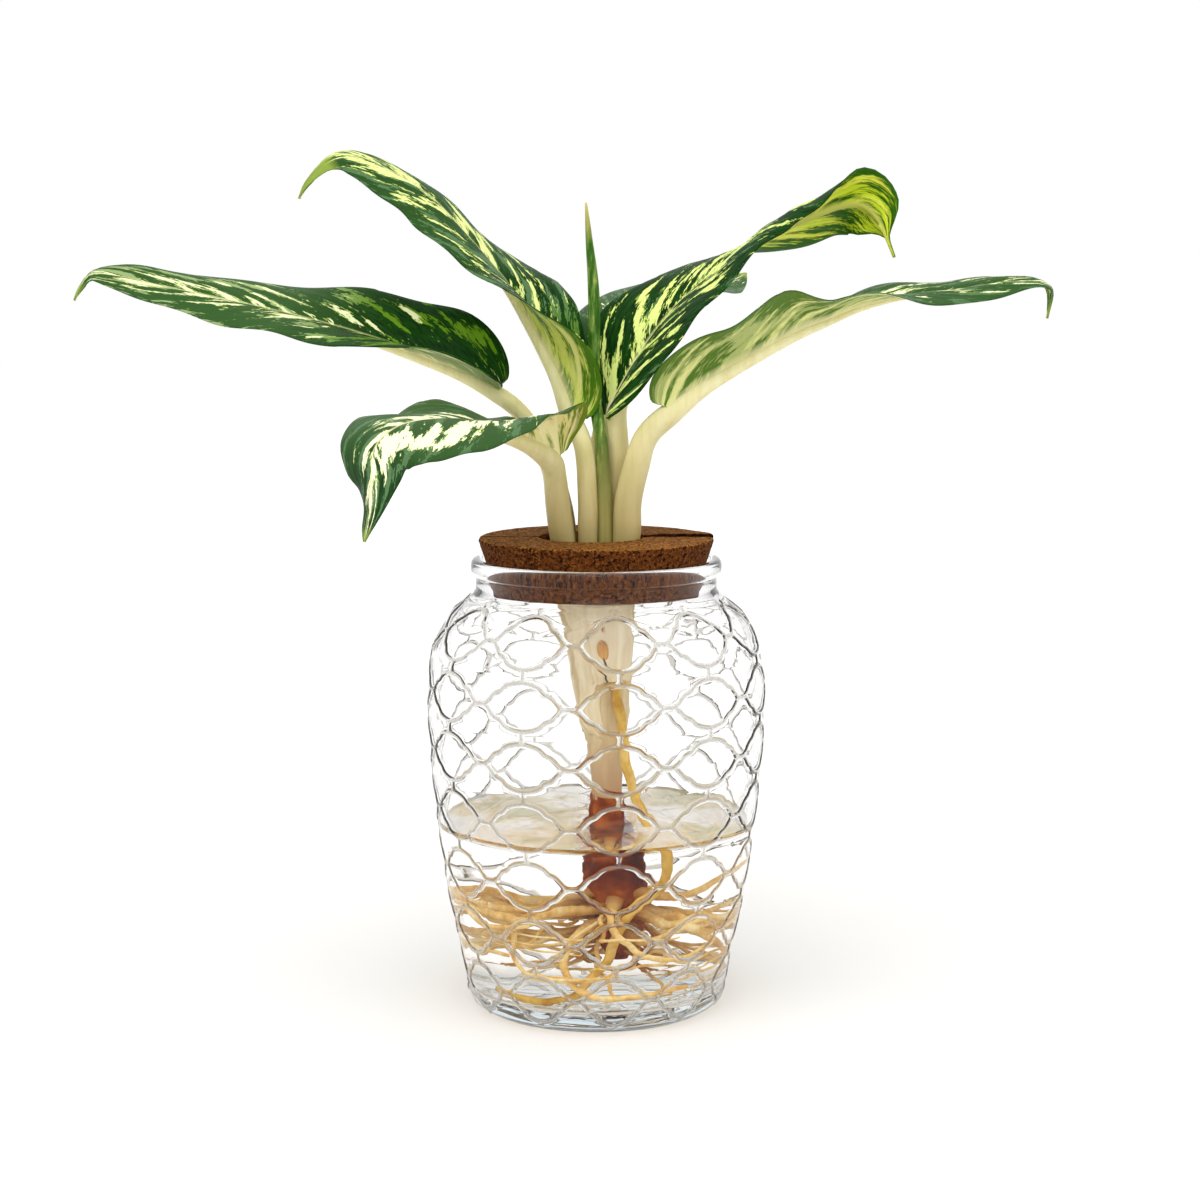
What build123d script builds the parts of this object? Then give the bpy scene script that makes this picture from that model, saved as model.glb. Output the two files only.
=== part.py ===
from build123d import *
import math
import os

# Driving dimensions in millimetres. The origin is the middle of the foot, +Z is up, +Y is the rear.
JAR_HEIGHT = 182.0
RIM_RADIUS = 50.2
RIM_BAND = 6.2
NECK_RADIUS = 48.2
NECK_BORE = 45.2
NECK_FOOT = 170.0
FOOT_RADIUS = 44.2
FOOT_RING = 9.0
PUNT_RISE = 1.6
HEEL_TOP = 12.0
HEEL_MIDDLE = (50.6, 3.4)
HEEL_RISE = 9.0
WALL = 2.6
BASE_THICKNESS = 7.5
# The body's outline above the heel: radius and height, from the heel to the root of the neck.
BODY_OUTLINE = [(53.0, HEEL_TOP), (60.0, 48), (65.2, 88), (67.5, 126), (65.2, 148), (58.6, 160), (50.6, 167)]

WATER_LEVEL = 76.4
WATER_SKIN = 0.1

CORK_TOP = 190.4
CORK_THICKNESS = 22.0
CORK_TOP_RADIUS = 47.3
CORK_TAPER = 18.0
CORK_HOLE = 20.6
CORK_HOLE_OFFSET = -2.0
CORK_SLIT = 0.9
CORK_EDGE = 1.0

BUNDLE_FOOT = 172.0
BUNDLE_SQUEEZE = 0.78
FOOT_SLENDER = 0.72
LID_HEIGHT = 191.0
STEM_FOOT = 92.0
# Stem and root crown: offset along X, height and radius.
STEM_RINGS = [(-0.6, BUNDLE_FOOT, 15.4), (0.6, 152, 14.0), (1.6, 141, 12.6), (2.0, 130, 11.2), (3.2, 117, 9.6),
              (3.7, 103, 7.2), (4.2, STEM_FOOT, 6.2)]
CROWN_RINGS = [(4.2, STEM_FOOT, 6.2), (4.4, 80, 6.8), (5.2, 65, 8.4), (6.0, 54, 9.2), (6.4, 42, 8.4),
               (6.6, 32, 5.6), (6.8, 26, 3.0)]

BLADE_MID = 1.2
BLADE_EDGE = 0.5
BLADE_BOW = 0.05
BASE_SHARE = 0.22
BASE_BLUNT = 0.02
FULL_SHARE = 0.34
BLADE_SPLIT = 3
TIP_WIDTH = 1.0
RIB_REACH = 0.62
RIB_TIP = 0.9
RIB_GAP = 0.15
STALK_SECTIONS = 16

# Each leaf: its half width, how blunt its tip is, its stalk from the lid to the blade as x, y, z and radius,
# and its blade from base to tip as x, y, z, then the lift of its left and right half in degrees.
LEAVES = {
    "far_left": {
        "half_width": 26.0,
        "taper": 1.7,
        "stalk": [(-12.4, 7.4, LID_HEIGHT, 4.5), (-14.6, 8.4, 204, 4.5), (-19.8, 8.4, 222, 4.3),
                  (-29.5, 6.0, 238.5, 4.2)],
        "blade": [
            (-39, 4.6, 250.5, 16, 62), (-54, 6, 257.5, 13, 62), (-74, 10, 264.5, 2, 50), (-97, 14, 272, -16, 39),
            (-123, 16, 279, -17, 25), (-149, 16, 285, -29, 21), (-172, 14, 290, -34, 20), (-190, 12, 294, -38, 24),
            (-201, 10, 295, -45, 5), (-206, 9, 289, -25, -20), (-208, 9, 284, 0, 0),
        ],
    },
    "front_left": {
        "half_width": 26.0,
        "taper": 1.7,
        "stalk": [(-13.4, -4.6, LID_HEIGHT, 5.0), (-15.2, -5.6, 204, 4.9), (-16.2, -7.4, 214, 4.6)],
        "blade": [
            (-17, -10, 225, 54, 45), (-22, -16, 229, 40, 24), (-30, -26, 233.5, 20, 14), (-41, -46, 237.5, 2, 20),
            (-54, -70, 242.5, -22, -1), (-68, -92, 243, -33, -2), (-76, -107, 239.5, -33, -4),
            (-78.5, -114, 235, -28, 8), (-78, -119.5, 227.5, -22, 44), (-78.5, -126, 215, -20, 60),
            (-79.5, -130, 203, 0, 0),
        ],
    },
    "upper_left": {
        "half_width": 26.0,
        "taper": 1.7,
        "stalk": [(-3.4, -5, LID_HEIGHT, 3.9), (-3.4, -4.4, 205, 3.9), (-5.0, -1.6, 226, 3.8)],
        "blade": [
            (-7.6, 2, 241, 64, 72), (-15, 4, 258, 44, 84), (-23, 6, 272, 19, 64), (-30, 9, 284, 3, 36),
            (-38, 11, 295, -12, 15), (-50, 13, 309, -20, 6), (-65, 15, 325, -33, 2), (-82, 15, 336, -42, 2),
            (-97, 13, 342, -48, 4), (-107, 11, 340, -50, 0), (-115, 9, 331, -30, -20), (-118, 9, 324, 0, 0),
        ],
    },
    "upper_right": {
        "half_width": 26.0,
        "taper": 2.4,
        "stalk": [(7, 7, LID_HEIGHT, 4.4), (7.6, 6.2, 206, 4.4), (8.8, 3.6, 224, 4.2)],
        "blade": [
            (4.5, 1, 241, 22, -4), (11, 1, 254, 46, -8), (19, 2, 267, 51, -12), (30, 4, 281, 32, -14),
            (42, 6, 292, 14, -8), (52, 8, 300, 4, -2), (62, 10, 307, -8, 6), (73, 12, 312, -22, 14),
            (86, 13, 317.5, -36, 24), (97, 14, 321.5, -42, 36), (106, 15, 321.5, -62, 70), (113, 14, 315, -60, 60),
            (117, 12, 306, -30, 30), (119, 11, 301, 0, 0),
        ],
    },
    "right": {
        "half_width": 25.0,
        "taper": 1.7,
        "stalk": [(12.2, -4, LID_HEIGHT, 5.4), (12.9, -4.2, 205, 5.2), (16.2, -5.6, 219, 4.9),
                  (20.2, -7.4, 231, 4.5)],
        "blade": [
            (27.6, -10, 244, 50, 72), (41, -12, 253.5, 38, 48), (57, -14, 262.5, 22, 32), (71, -16, 270, 20, 34),
            (79, -17, 273.7, 14, 38), (87, -18, 277, 8, 20), (102, -18, 283, -6, 14), (120, -16, 287, -16, 12),
            (139, -14, 289, -10, -8), (159, -12, 292, 6, -24), (173, -10, 292, 5, -24), (179, -8, 288, -30, -30),
            (177, -8, 277, 0, 0),
        ],
    },
    "rear": {
        "half_width": 24.0,
        "taper": 1.7,
        "stalk": [(-3, 9, LID_HEIGHT, 4.0), (-2, 10.2, 206, 4.0), (1.8, 13.4, 229, 3.8)],
        "blade": [
            (5, 19, 248, 48, 48), (11, 33, 263, 36, 36), (18, 54, 273, 22, 22), (28, 82, 281, 12, 12),
            (40, 110, 286, 8, 8), (52, 132, 289, 6, 6), (62, 148, 291.5, 4, 4), (68, 158, 294, 0, 0),
        ],
    },
}
# The rolled new leaf, from the lid to its tip: x, y, z and radius.
SPEAR_RINGS = [(3.6, -2.2, LID_HEIGHT, 3.1), (2.2, -1.0, 225, 2.6), (0.4, 0.3, 239, 2.4), (-0.8, 0.5, 250, 2.3),
               (-0.9, -0.4, 285, 2.1), (-2.8, -2, 308, 1.2), (-4.0, -2, 322, 0.4)]

AERIAL_ROOT_RADIUS = 2.1
AERIAL_ROOT = [(7.5, -9.5, 132), (10, -12.5, 116), (12, -13.5, 100), (15.5, -15, 87), (20.5, -16.5, 76),
               (23.5, -18, 65), (19.5, -20.5, 55), (11.5, -23, 47.5), (7.5, -26.5, 39), (4.5, -30, 30),
               (-1, -33.5, 22), (-7.5, -36.5, 15), (-16, -38, 11.8), (-27, -33.5, 12.2), (-36, -25, 13.5)]
# The one root that climbs to the right, towards the water line.
HIGH_ROOT = [(11, -4, 52), (25, -11.5, 51), (36, -14.5, 54), (45, -11, 58.5), (50, 1, 60), (48, 14, 58)]

ROOT_COUNT = 12
ROOT_RADII = [1.5, 1.2, 1.7]
ROOT_LEVELS = [16.0, 30.0, 42.0, 23.0]
ROOT_WALL_GAP = 3.4
ROOT_WATER_GAP = 0.3


def body_radius(height):
    for (r0, z0), (r1, z1) in zip(BODY_OUTLINE, BODY_OUTLINE[1:]):
        if z0 <= height <= z1:
            return r0 + (r1 - r0) * (height - z0) / (z1 - z0)
    return BODY_OUTLINE[0][0]


# The inside of the jar, from the foot of the neck down the wall and across the floor to the axis.
def cavity_outline(inset, floor):
    wall = [(radius - inset, height) for radius, height in BODY_OUTLINE[1:]]
    heel = (BODY_OUTLINE[0][0] - inset + 0.8, floor + HEEL_RISE)
    floor_edge = (FOOT_RADIUS - inset - 1, floor)
    heel_middle = (heel[0] - 2.4, floor + 2.7)
    Spline((NECK_BORE + WALL - inset, NECK_FOOT), *wall[::-1], heel, tangents=[(0.2, -1), (-0.2, -1)])
    ThreePointArc(heel, heel_middle, floor_edge)
    Line(floor_edge, (0, floor))


# The glass jar is one turned section: foot ring, heel, body, neck and rim bead outside, floor and bore inside.
def make_jar():
    ring = FOOT_RADIUS - FOOT_RING
    rim_low = JAR_HEIGHT - RIM_BAND
    rim_edge = RIM_RADIUS - 0.8
    with BuildSketch(Plane.XZ) as section:
        with BuildLine():
            Polyline((0, PUNT_RISE), (ring - 4, PUNT_RISE), (ring, 0), (FOOT_RADIUS, 0))
            ThreePointArc((FOOT_RADIUS, 0), HEEL_MIDDLE, BODY_OUTLINE[0])
            Spline(*BODY_OUTLINE, (NECK_RADIUS, NECK_FOOT), tangents=[(0.2, 1), (-0.2, 1)])
            Polyline((NECK_RADIUS, NECK_FOOT), (NECK_RADIUS, rim_low - 0.6), (rim_edge, rim_low))
            rim_middle = (RIM_RADIUS, rim_low + RIM_BAND / 2)
            ThreePointArc((rim_edge, rim_low), rim_middle, (rim_edge, JAR_HEIGHT - 0.6))
            Polyline((rim_edge, JAR_HEIGHT - 0.6), (rim_edge - 0.8, JAR_HEIGHT), (NECK_BORE + 0.5, JAR_HEIGHT),
                     (NECK_BORE, JAR_HEIGHT - 0.6), (NECK_BORE, NECK_FOOT))
            cavity_outline(WALL, BASE_THICKNESS)
            Line((0, BASE_THICKNESS), (0, PUNT_RISE))
        make_face()
    return revolve(section.sketch, Axis.Z)


# Water fills the jar's inside up to its level, with room left round everything that stands in it.
def make_water(standing):
    skin = WALL + WATER_SKIN
    floor = BASE_THICKNESS + WATER_SKIN
    with BuildSketch(Plane.XZ) as section:
        with BuildLine():
            cavity_outline(skin, floor)
            Polyline((0, floor), (0, NECK_FOOT), (NECK_BORE + WALL - skin, NECK_FOOT))
        make_face()
    filled = revolve(section.sketch, Axis.Z)
    above = Pos(0, 0, WATER_LEVEL + JAR_HEIGHT / 2) * Cylinder(2 * RIM_RADIUS, JAR_HEIGHT)
    return filled - above - standing


# One half of the cork lid, in front of the slit (side -1) or behind it (side 1).
def make_cork(side):
    low_radius = CORK_TOP_RADIUS - CORK_THICKNESS * math.tan(math.radians(CORK_TAPER))
    with BuildSketch(Plane.XZ) as section:
        with BuildLine():
            Polyline((0, CORK_TOP - CORK_THICKNESS), (low_radius, CORK_TOP - CORK_THICKNESS),
                     (CORK_TOP_RADIUS, CORK_TOP), (0, CORK_TOP), close=True)
        make_face()
    disc = revolve(section.sketch, Axis.Z)
    rims = disc.edges().filter_by(GeomType.CIRCLE)
    disc = fillet(rims, CORK_EDGE)
    disc -= Pos(CORK_HOLE_OFFSET, 0, CORK_TOP) * Cylinder(CORK_HOLE, 3 * CORK_THICKNESS)
    half_space = Box(4 * RIM_RADIUS, 2 * RIM_RADIUS, 2 * CORK_THICKNESS)
    return disc & Pos(0, side * (RIM_RADIUS + CORK_SLIT / 2), CORK_TOP) * half_space


# A round, tapering stalk through rings given as centre and radius, with its sections square to its own line.
def make_taper(rings):
    line = Spline(*[centre for centre, radius in rings])
    places = [line.param_at_point(centre) for centre, radius in rings]
    across = Vector(1, 0, 0)
    discs = []
    for step in range(STALK_SECTIONS + 1):
        place = step / STALK_SECTIONS
        index = max(number for number in range(len(rings) - 1) if places[number] <= place + 1e-6)
        share = (place - places[index]) / (places[index + 1] - places[index])
        radius = rings[index][1] + (rings[index + 1][1] - rings[index][1]) * share
        along = line % place
        across = (across - along * across.dot(along)).normalized()
        discs.append(Plane(origin=line @ place, x_dir=across, z_dir=along) * Circle(radius))
    return loft(discs, ruled=True)


# Upright rings keep flat ends, so stem and crown meet face to face.
def make_column(rings):
    return loft([Pos(offset, 0, height) * Circle(radius) for offset, height, radius in rings])


# The outline of a blade: rounded at the stalk, full for a stretch, then drawn out to a tip.
def blade_width(share, taper):
    if share < BASE_SHARE:
        return (1 - (1 - max(share, BASE_BLUNT) / BASE_SHARE) ** 2) ** 0.45
    if share < FULL_SHARE:
        return 1.0
    return 1.02 - ((share - FULL_SHARE) / (1 - FULL_SHARE)) ** taper


# One row of numbers part of the way between two rows of a list, on a smooth curve through all of them.
def row_between(rows, index, share):
    first = rows[index]
    second = rows[index + 1]
    before = rows[index - 1] if index > 0 else first
    after = rows[index + 2] if index + 2 < len(rows) else second
    result = []
    for a, b, c, d in zip(before, first, second, after):
        start_slope = (c - a) / 2
        end_slope = (d - b) / 2
        cube = 2 * b - 2 * c + start_slope + end_slope
        square = 3 * c - 3 * b - 2 * start_slope - end_slope
        result.append(((cube * share + square) * share + start_slope) * share + b)
    return result


# Midrib points, directions, half widths and lifts at close stations of a blade.
def blade_stations(leaf):
    rows = leaf["blade"]
    places = [(index, step / BLADE_SPLIT) for index in range(len(rows) - 1) for step in range(BLADE_SPLIT)]
    close_rows = [row_between(rows, index, share) for index, share in places] + [rows[-1]]
    points = [Vector(*row[:3]) for row in close_rows]
    reach = [0.0]
    for before, after in zip(points, points[1:]):
        reach.append(reach[-1] + (after - before).length)
    heading = Vector(*rows[-3][:3]) - points[0]
    level_right = heading.cross(Vector(0, 0, 1)).normalized()
    stations = []
    for index, point in enumerate(points):
        along = (points[min(index + 1, len(points) - 1)] - points[max(index - 1, 0)]).normalized()
        right = (level_right - along * level_right.dot(along)).normalized()
        share = reach[index] / reach[-1]
        width = max(leaf["half_width"] * blade_width(share, leaf["taper"]), TIP_WIDTH)
        stations.append((point, right, right.cross(along), width, share, close_rows[index][3:]))
    return stations


# One cross section of a blade: two bowed halves that lift from the midrib, thinner at the margin.
def blade_section(point, right, up, width, left_lift, right_lift):
    upper = {}
    lower = {}
    for name, sign, lift in (("left", -1, left_lift), ("right", 1, right_lift)):
        angle = math.radians(lift)
        out = right * (sign * math.cos(angle)) + up * math.sin(angle)
        normal = up * math.cos(angle) - right * (sign * math.sin(angle))
        belly = point + out * (width / 2) + normal * (BLADE_BOW * width)
        margin = point + out * width
        upper[name] = (belly, margin)
        lower[name] = (belly - normal * (BLADE_MID + BLADE_EDGE) / 2, margin - normal * BLADE_EDGE)
    keel = point - up * BLADE_MID
    edges = [
        ThreePointArc(upper["left"][1], upper["left"][0], point),
        ThreePointArc(point, upper["right"][0], upper["right"][1]),
        Line(upper["right"][1], lower["right"][1]),
        ThreePointArc(lower["right"][1], lower["right"][0], keel),
        ThreePointArc(keel, lower["left"][0], lower["left"][1]),
        Line(lower["left"][1], upper["left"][1]),
    ]
    return Face(Wire(edges))


def make_blade(leaf):
    sections = []
    for point, right, up, width, share, lifts in blade_stations(leaf):
        sections.append(blade_section(point, right, up, width, *lifts))
    return loft(sections, ruled=True)


# A leaf stalk rises from the stem, spreads through the lid's hole and runs on under the blade as its midrib.
def make_stalk(leaf):
    first = leaf["stalk"][0]
    rings = [((first[0] * BUNDLE_SQUEEZE, first[1] * BUNDLE_SQUEEZE, BUNDLE_FOOT), first[3] * FOOT_SLENDER)]
    rings += [((x, y, z), radius) for x, y, z, radius in leaf["stalk"]]
    base_radius = leaf["stalk"][-1][3]
    for point, right, up, width, share, lifts in blade_stations(leaf)[::BLADE_SPLIT]:
        if share < RIB_REACH:
            radius = base_radius + (RIB_TIP - base_radius) * (share / RIB_REACH) ** 0.6
            centre = point - up * (radius + BLADE_MID + RIB_GAP)
            rings.append(((centre.X, centre.Y, centre.Z), radius))
    return make_taper(rings)


# A root is a tube of straight runs and wide arcs through its route.
def make_tube(route, radius):
    points = [Vector(*point) for point in route]
    bends = []
    for before, corner, after in zip(points, points[1:], points[2:]):
        turn = math.radians((corner - before).get_angle(after - corner))
        shorter = min((corner - before).length, (after - corner).length)
        bends.append(0.45 * shorter / math.tan(turn / 2))
    path = FilletPolyline(*points, radius=bends)
    return sweep(Plane(origin=path @ 0, z_dir=path % 0) * Circle(radius), path=path)


# Water roots leave the crown all round and follow the wall at four levels, so none cross; the first climbs.
def root_route(index):
    if index == 0:
        return HIGH_ROOT
    start_angle = 360 / ROOT_COUNT * index
    level = ROOT_LEVELS[index % len(ROOT_LEVELS)]
    leave = 34 + 20 * ((index * 5) % ROOT_COUNT) / ROOT_COUNT
    wall = body_radius(level) - WALL - ROOT_WALL_GAP - 1.5
    reach = 62 + 8 * (index % 3)
    legs = [(0.1, 0, leave), (0.45, 4, leave - 3), (0.8, 10, (leave + level) / 2), (0.97, 22, level + 2)]
    legs += [(1.0, 40, level - 1), (1.0, reach, level + 2 - index % 3)]
    route = []
    for share, swing, height in legs:
        angle = math.radians(start_angle + swing)
        centre = CROWN_RINGS[-2][0] * (1 - share)
        route.append((centre + share * wall * math.cos(angle), share * wall * math.sin(angle), height))
    return route


os.makedirs("parts", exist_ok=True)

crown = make_column(CROWN_RINGS)
stem = make_column(STEM_RINGS)
pieces = {"root_crown": crown, "stem": stem}
standing = make_column([(offset, height, radius + ROOT_WATER_GAP) for offset, height, radius in CROWN_RINGS])

pieces["aerial_root"] = make_tube(AERIAL_ROOT, AERIAL_ROOT_RADIUS) - stem
standing += make_tube(AERIAL_ROOT, AERIAL_ROOT_RADIUS + ROOT_WATER_GAP)
for number in range(ROOT_COUNT):
    thickness = ROOT_RADII[number % len(ROOT_RADII)]
    pieces[f"water_root_{number + 1}"] = make_tube(root_route(number), thickness) - crown
    standing += make_tube(root_route(number), thickness + ROOT_WATER_GAP)

for place, leaf in LEAVES.items():
    blade = make_blade(leaf)
    pieces[f"leaf_{place}"] = blade
    pieces[f"stalk_{place}"] = make_stalk(leaf) - stem - blade

spear_foot = (SPEAR_RINGS[0][0] * BUNDLE_SQUEEZE, SPEAR_RINGS[0][1] * BUNDLE_SQUEEZE, BUNDLE_FOOT)
spear_rings = [(spear_foot, SPEAR_RINGS[0][3] * FOOT_SLENDER)]
spear_rings += [((x, y, z), radius) for x, y, z, radius in SPEAR_RINGS]
pieces["spear_leaf"] = make_taper(spear_rings) - stem

pieces["glass_jar"] = make_jar()
pieces["water"] = make_water(standing)
pieces["cork_front_half"] = make_cork(-1)
pieces["cork_rear_half"] = make_cork(1)

for name, shape in pieces.items():
    solids = shape.solids()
    body = solids[0] if len(solids) == 1 else shape
    print(name, "volume", round(shape.volume, 1), "solids", len(solids))
    export_step(body, f"parts/{name}.step")
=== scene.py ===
import bpy
import bmesh
import math
import random
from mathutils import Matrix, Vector, noise


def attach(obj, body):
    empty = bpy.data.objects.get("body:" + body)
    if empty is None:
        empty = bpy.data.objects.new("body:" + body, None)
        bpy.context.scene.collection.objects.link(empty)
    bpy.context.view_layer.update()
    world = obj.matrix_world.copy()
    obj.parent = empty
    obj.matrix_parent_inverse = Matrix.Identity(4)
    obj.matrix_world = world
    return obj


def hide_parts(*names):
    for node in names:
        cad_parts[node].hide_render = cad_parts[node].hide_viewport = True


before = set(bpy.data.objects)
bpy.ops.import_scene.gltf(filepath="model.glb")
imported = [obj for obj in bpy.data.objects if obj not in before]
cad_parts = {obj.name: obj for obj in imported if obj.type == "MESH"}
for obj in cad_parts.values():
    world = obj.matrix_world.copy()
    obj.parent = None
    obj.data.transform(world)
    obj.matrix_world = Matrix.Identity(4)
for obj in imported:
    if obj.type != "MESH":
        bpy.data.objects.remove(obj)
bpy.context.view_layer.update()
mm = 0.001
fullTurn = 2 * math.pi
waveTurn, phaseSpan = 6.283, 6.28  # one wave, and the range its start is drawn from
fineSteps = 400  # short steps along a smooth line
noise.seed_set(1)  # the roots wander the same way in each run
print("frame loaded", len(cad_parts), "nodes")


# small helpers for curves and meshes

def between(a, b, share):
    return a + (b - a) * share


def bell(value, middle, wide):
    return math.exp(-((value - middle) / wide) ** 2)


def curveAt(rows, place):
    # Catmull-Rom through rows of numbers, place runs from 0 to the last row
    last = len(rows) - 1
    index = min(int(place), last - 1)
    share = place - index
    p1, p2 = rows[index], rows[index + 1]
    p0 = rows[index - 1] if index > 0 else [2 * a - b for a, b in zip(p1, p2)]
    p3 = rows[index + 2] if index + 2 <= last else [2 * b - a for a, b in zip(p1, p2)]
    result = []
    for a, b, c, d in zip(p0, p1, p2, p3):
        slope = 0.5 * (c - a)
        slopeNext = 0.5 * (d - b)
        cube = 2 * b - 2 * c + slope + slopeNext
        square = -3 * b + 3 * c - 2 * slope - slopeNext
        result.append(((cube * share + square) * share + slope) * share + b)
    return result


def rowsAt(rows, shares):
    # rows along a smooth line, at rising shares of its length
    fine = [curveAt(rows, (len(rows) - 1) * i / fineSteps) for i in range(fineSteps + 1)]
    reach = [0.0]
    for a, b in zip(fine, fine[1:]):
        reach.append(reach[-1] + math.dist(a[:3], b[:3]))
    result = []
    index = 0
    for place in shares:
        goal = reach[-1] * place
        while index < fineSteps - 1 and reach[index + 1] < goal:
            index += 1
        share = (goal - reach[index]) / max(reach[index + 1] - reach[index], 1e-9)
        result.append([between(a, b, share) for a, b in zip(fine[index], fine[index + 1])])
    return result


def evenRows(rows, steps):
    return rowsAt(rows, [step / steps for step in range(steps + 1)])


def onCircle(radius, angle, height, centre=0.0):
    # a point in metres round an upright axis, counted from the front
    return ((centre + radius * math.sin(angle)) * mm, -radius * math.cos(angle) * mm, height * mm)


def addObject(name, data):
    holder = bpy.data.objects.new(name, data)
    bpy.context.scene.collection.objects.link(holder)
    return holder


def newPiece(name, verts, faces, materials, slots=(), closed=True):
    mesh = bpy.data.meshes.new(name)
    mesh.from_pydata([tuple(v) for v in verts], [], faces)
    mesh.validate()
    if closed:
        work = bmesh.new()
        work.from_mesh(mesh)
        bmesh.ops.recalc_face_normals(work, faces=work.faces)
        work.to_mesh(mesh)
        work.free()
    for material in materials:
        mesh.materials.append(material)
    for polygon in mesh.polygons:
        polygon.use_smooth = True
    for polygon, slot in zip(mesh.polygons, slots):
        polygon.material_index = slot
    return addObject(name, mesh)


def addPart(verts, faces, part):
    faces += [tuple(i + len(verts) for i in face) for face in part[1]]
    verts += part[0]


def ringTube(rings):
    # rings of equal length joined into one skin with closed ends
    count = len(rings[0])
    verts = [v for ring in rings for v in ring]
    faces = []
    for row in range(len(rings) - 1):
        for i in range(count):
            j = (i + 1) % count
            faces.append((row * count + i, row * count + j, (row + 1) * count + j, (row + 1) * count + i))
    for row in (0, len(rings) - 1):
        hub = len(verts)
        verts.append(sum((Vector(v) for v in rings[row]), Vector()) / count)
        for i in range(count):
            a, b = row * count + i, row * count + (i + 1) % count
            faces.append((a, b, hub) if row else (b, a, hub))
    return verts, faces


def sheetFaces(tall, wide):
    # a thin sheet of two skins with closed edges, and a 1 for each face of the lower skin
    count = wide + 1
    under = count * (tall + 1)
    faces, slots = [], []
    for i in range(tall):
        for j in range(wide):
            a, b = i * count + j, i * count + j + 1
            c, d = b + count, a + count
            faces += [(a, b, c, d), (under + d, under + c, under + b, under + a)]
            slots += [0, 1]
        for a in (i * count, i * count + wide):
            d = a + count
            faces.append((a, d, under + d, under + a))
            slots.append(0)
    for i in (0, tall):
        for a in range(i * count, i * count + wide):
            faces.append((a, a + 1, under + a + 1, under + a))
            slots.append(0)
    return faces, slots


# material helpers: near is any node or socket of the tree that the new node goes into

def isSocket(value):
    return hasattr(value, "is_linked")


def feed(socket, value):
    # a link from an output, or a plain value
    if isSocket(value):
        socket.id_data.links.new(value, socket)
    else:
        socket.default_value = (*value, 1) if socket.type == "RGBA" else value


def setInputs(node, **inputs):
    for name, value in inputs.items():
        feed(node.inputs[name.replace("_", " ")], value)
    return node


def addNode(near, kind, **inputs):
    return setInputs(near.id_data.nodes.new("ShaderNode" + kind), **inputs)


def newMaterial(name, kind="BsdfPrincipled"):
    material = bpy.data.materials.new(name)
    material.use_nodes = True
    material.node_tree.nodes.clear()
    shader = addNode(material.node_tree, kind)
    addNode(shader, "OutputMaterial", Surface=shader.outputs[0])
    return material, shader


def layOver(shader, share, cover):
    # another shader mixed over what the material shows so far
    output = [node for node in shader.id_data.nodes if node.type == "OUTPUT_MATERIAL"][0]
    mixed = addNode(shader, "MixShader")
    for socket, value in zip(mixed.inputs, (share, output.inputs[0].links[0].from_socket, cover.outputs[0])):
        feed(socket, value)
    feed(output.inputs[0], mixed.outputs[0])


def calc(operation, first, second=0.0):
    node = addNode(first if isSocket(first) else second, "Math")
    node.operation = operation
    feed(node.inputs[0], first)
    feed(node.inputs[1], second)
    return node.outputs[0]


def times(first, second):
    return calc("MULTIPLY", first, second)


def plus(first, second):
    return calc("ADD", first, second)


def minus(first, second):
    return calc("SUBTRACT", first, second)


def ramp(source, stops):
    # each stop is a place with a colour, or with one number for a grey
    node = addNode(source, "ValToRGB")
    elements = node.color_ramp.elements
    while len(elements) < len(stops):
        elements.new(0.5)
    for element, (place, tone) in zip(elements, stops):
        element.position = place
        element.color = (*tone, 1) if isinstance(tone, tuple) else (tone, tone, tone, 1)
    feed(node.inputs[0], source)
    return node.outputs[0]


def sharp(source, cut, soft):
    return ramp(source, [(cut - soft, 0), (cut + soft, 1)])


def fade(source, start, end, most=1.0):
    return addNode(source, "MapRange", Value=source, From_Min=start, From_Max=end, To_Max=most).outputs[0]


def mixColour(share, first, second, blend="MIX"):
    node = addNode([value for value in (share, first, second) if isSocket(value)][0], "Mix")
    node.data_type = "RGBA"
    node.blend_type = blend
    for index, value in ((0, share), (6, first), (7, second)):
        feed(node.inputs[index], value)
    return node.outputs[2]


def shaded(tone, shade):
    return mixColour(1.0, tone, shade, "MULTIPLY")


def objectPlace(shader):
    return addNode(shader, "TexCoord").outputs["Object"]


def axis(vector, index):
    return addNode(vector, "SeparateXYZ", Vector=vector).outputs[index]


def noiseAt(place, scale, detail, roughness=0.5):
    return addNode(place, "TexNoise", Vector=place, Scale=scale, Detail=detail, Roughness=roughness).outputs[0]


def fibreNoise(place, across, along, detail, roughness):
    # noise drawn out along z
    drawn = addNode(place, "Mapping", Vector=place, Scale=(across, across, along))
    return noiseAt(drawn.outputs[0], 1.0, detail, roughness)


def coat(shader, tone, grain, rough, specular, height, strength, distance):
    # colour, roughness that follows the grain, shine and a fine relief
    bump = addNode(shader, "Bump", Height=height, Strength=strength, Distance=distance)
    setInputs(shader, Base_Color=tone, Roughness=ramp(grain, [(0.3, rough[0]), (0.7, rough[1])]),
              Specular_IOR_Level=specular, Normal=bump.outputs[0])


def srgb(r, g, b):
    # a colour as it reads on screen, 0 to 255
    return tuple(((c / 255 + 0.055) / 1.055) ** 2.4 if c > 10 else c / 255 / 12.92 for c in (r, g, b))


# clear materials let lamp light through, so what stands inside is lit

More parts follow.
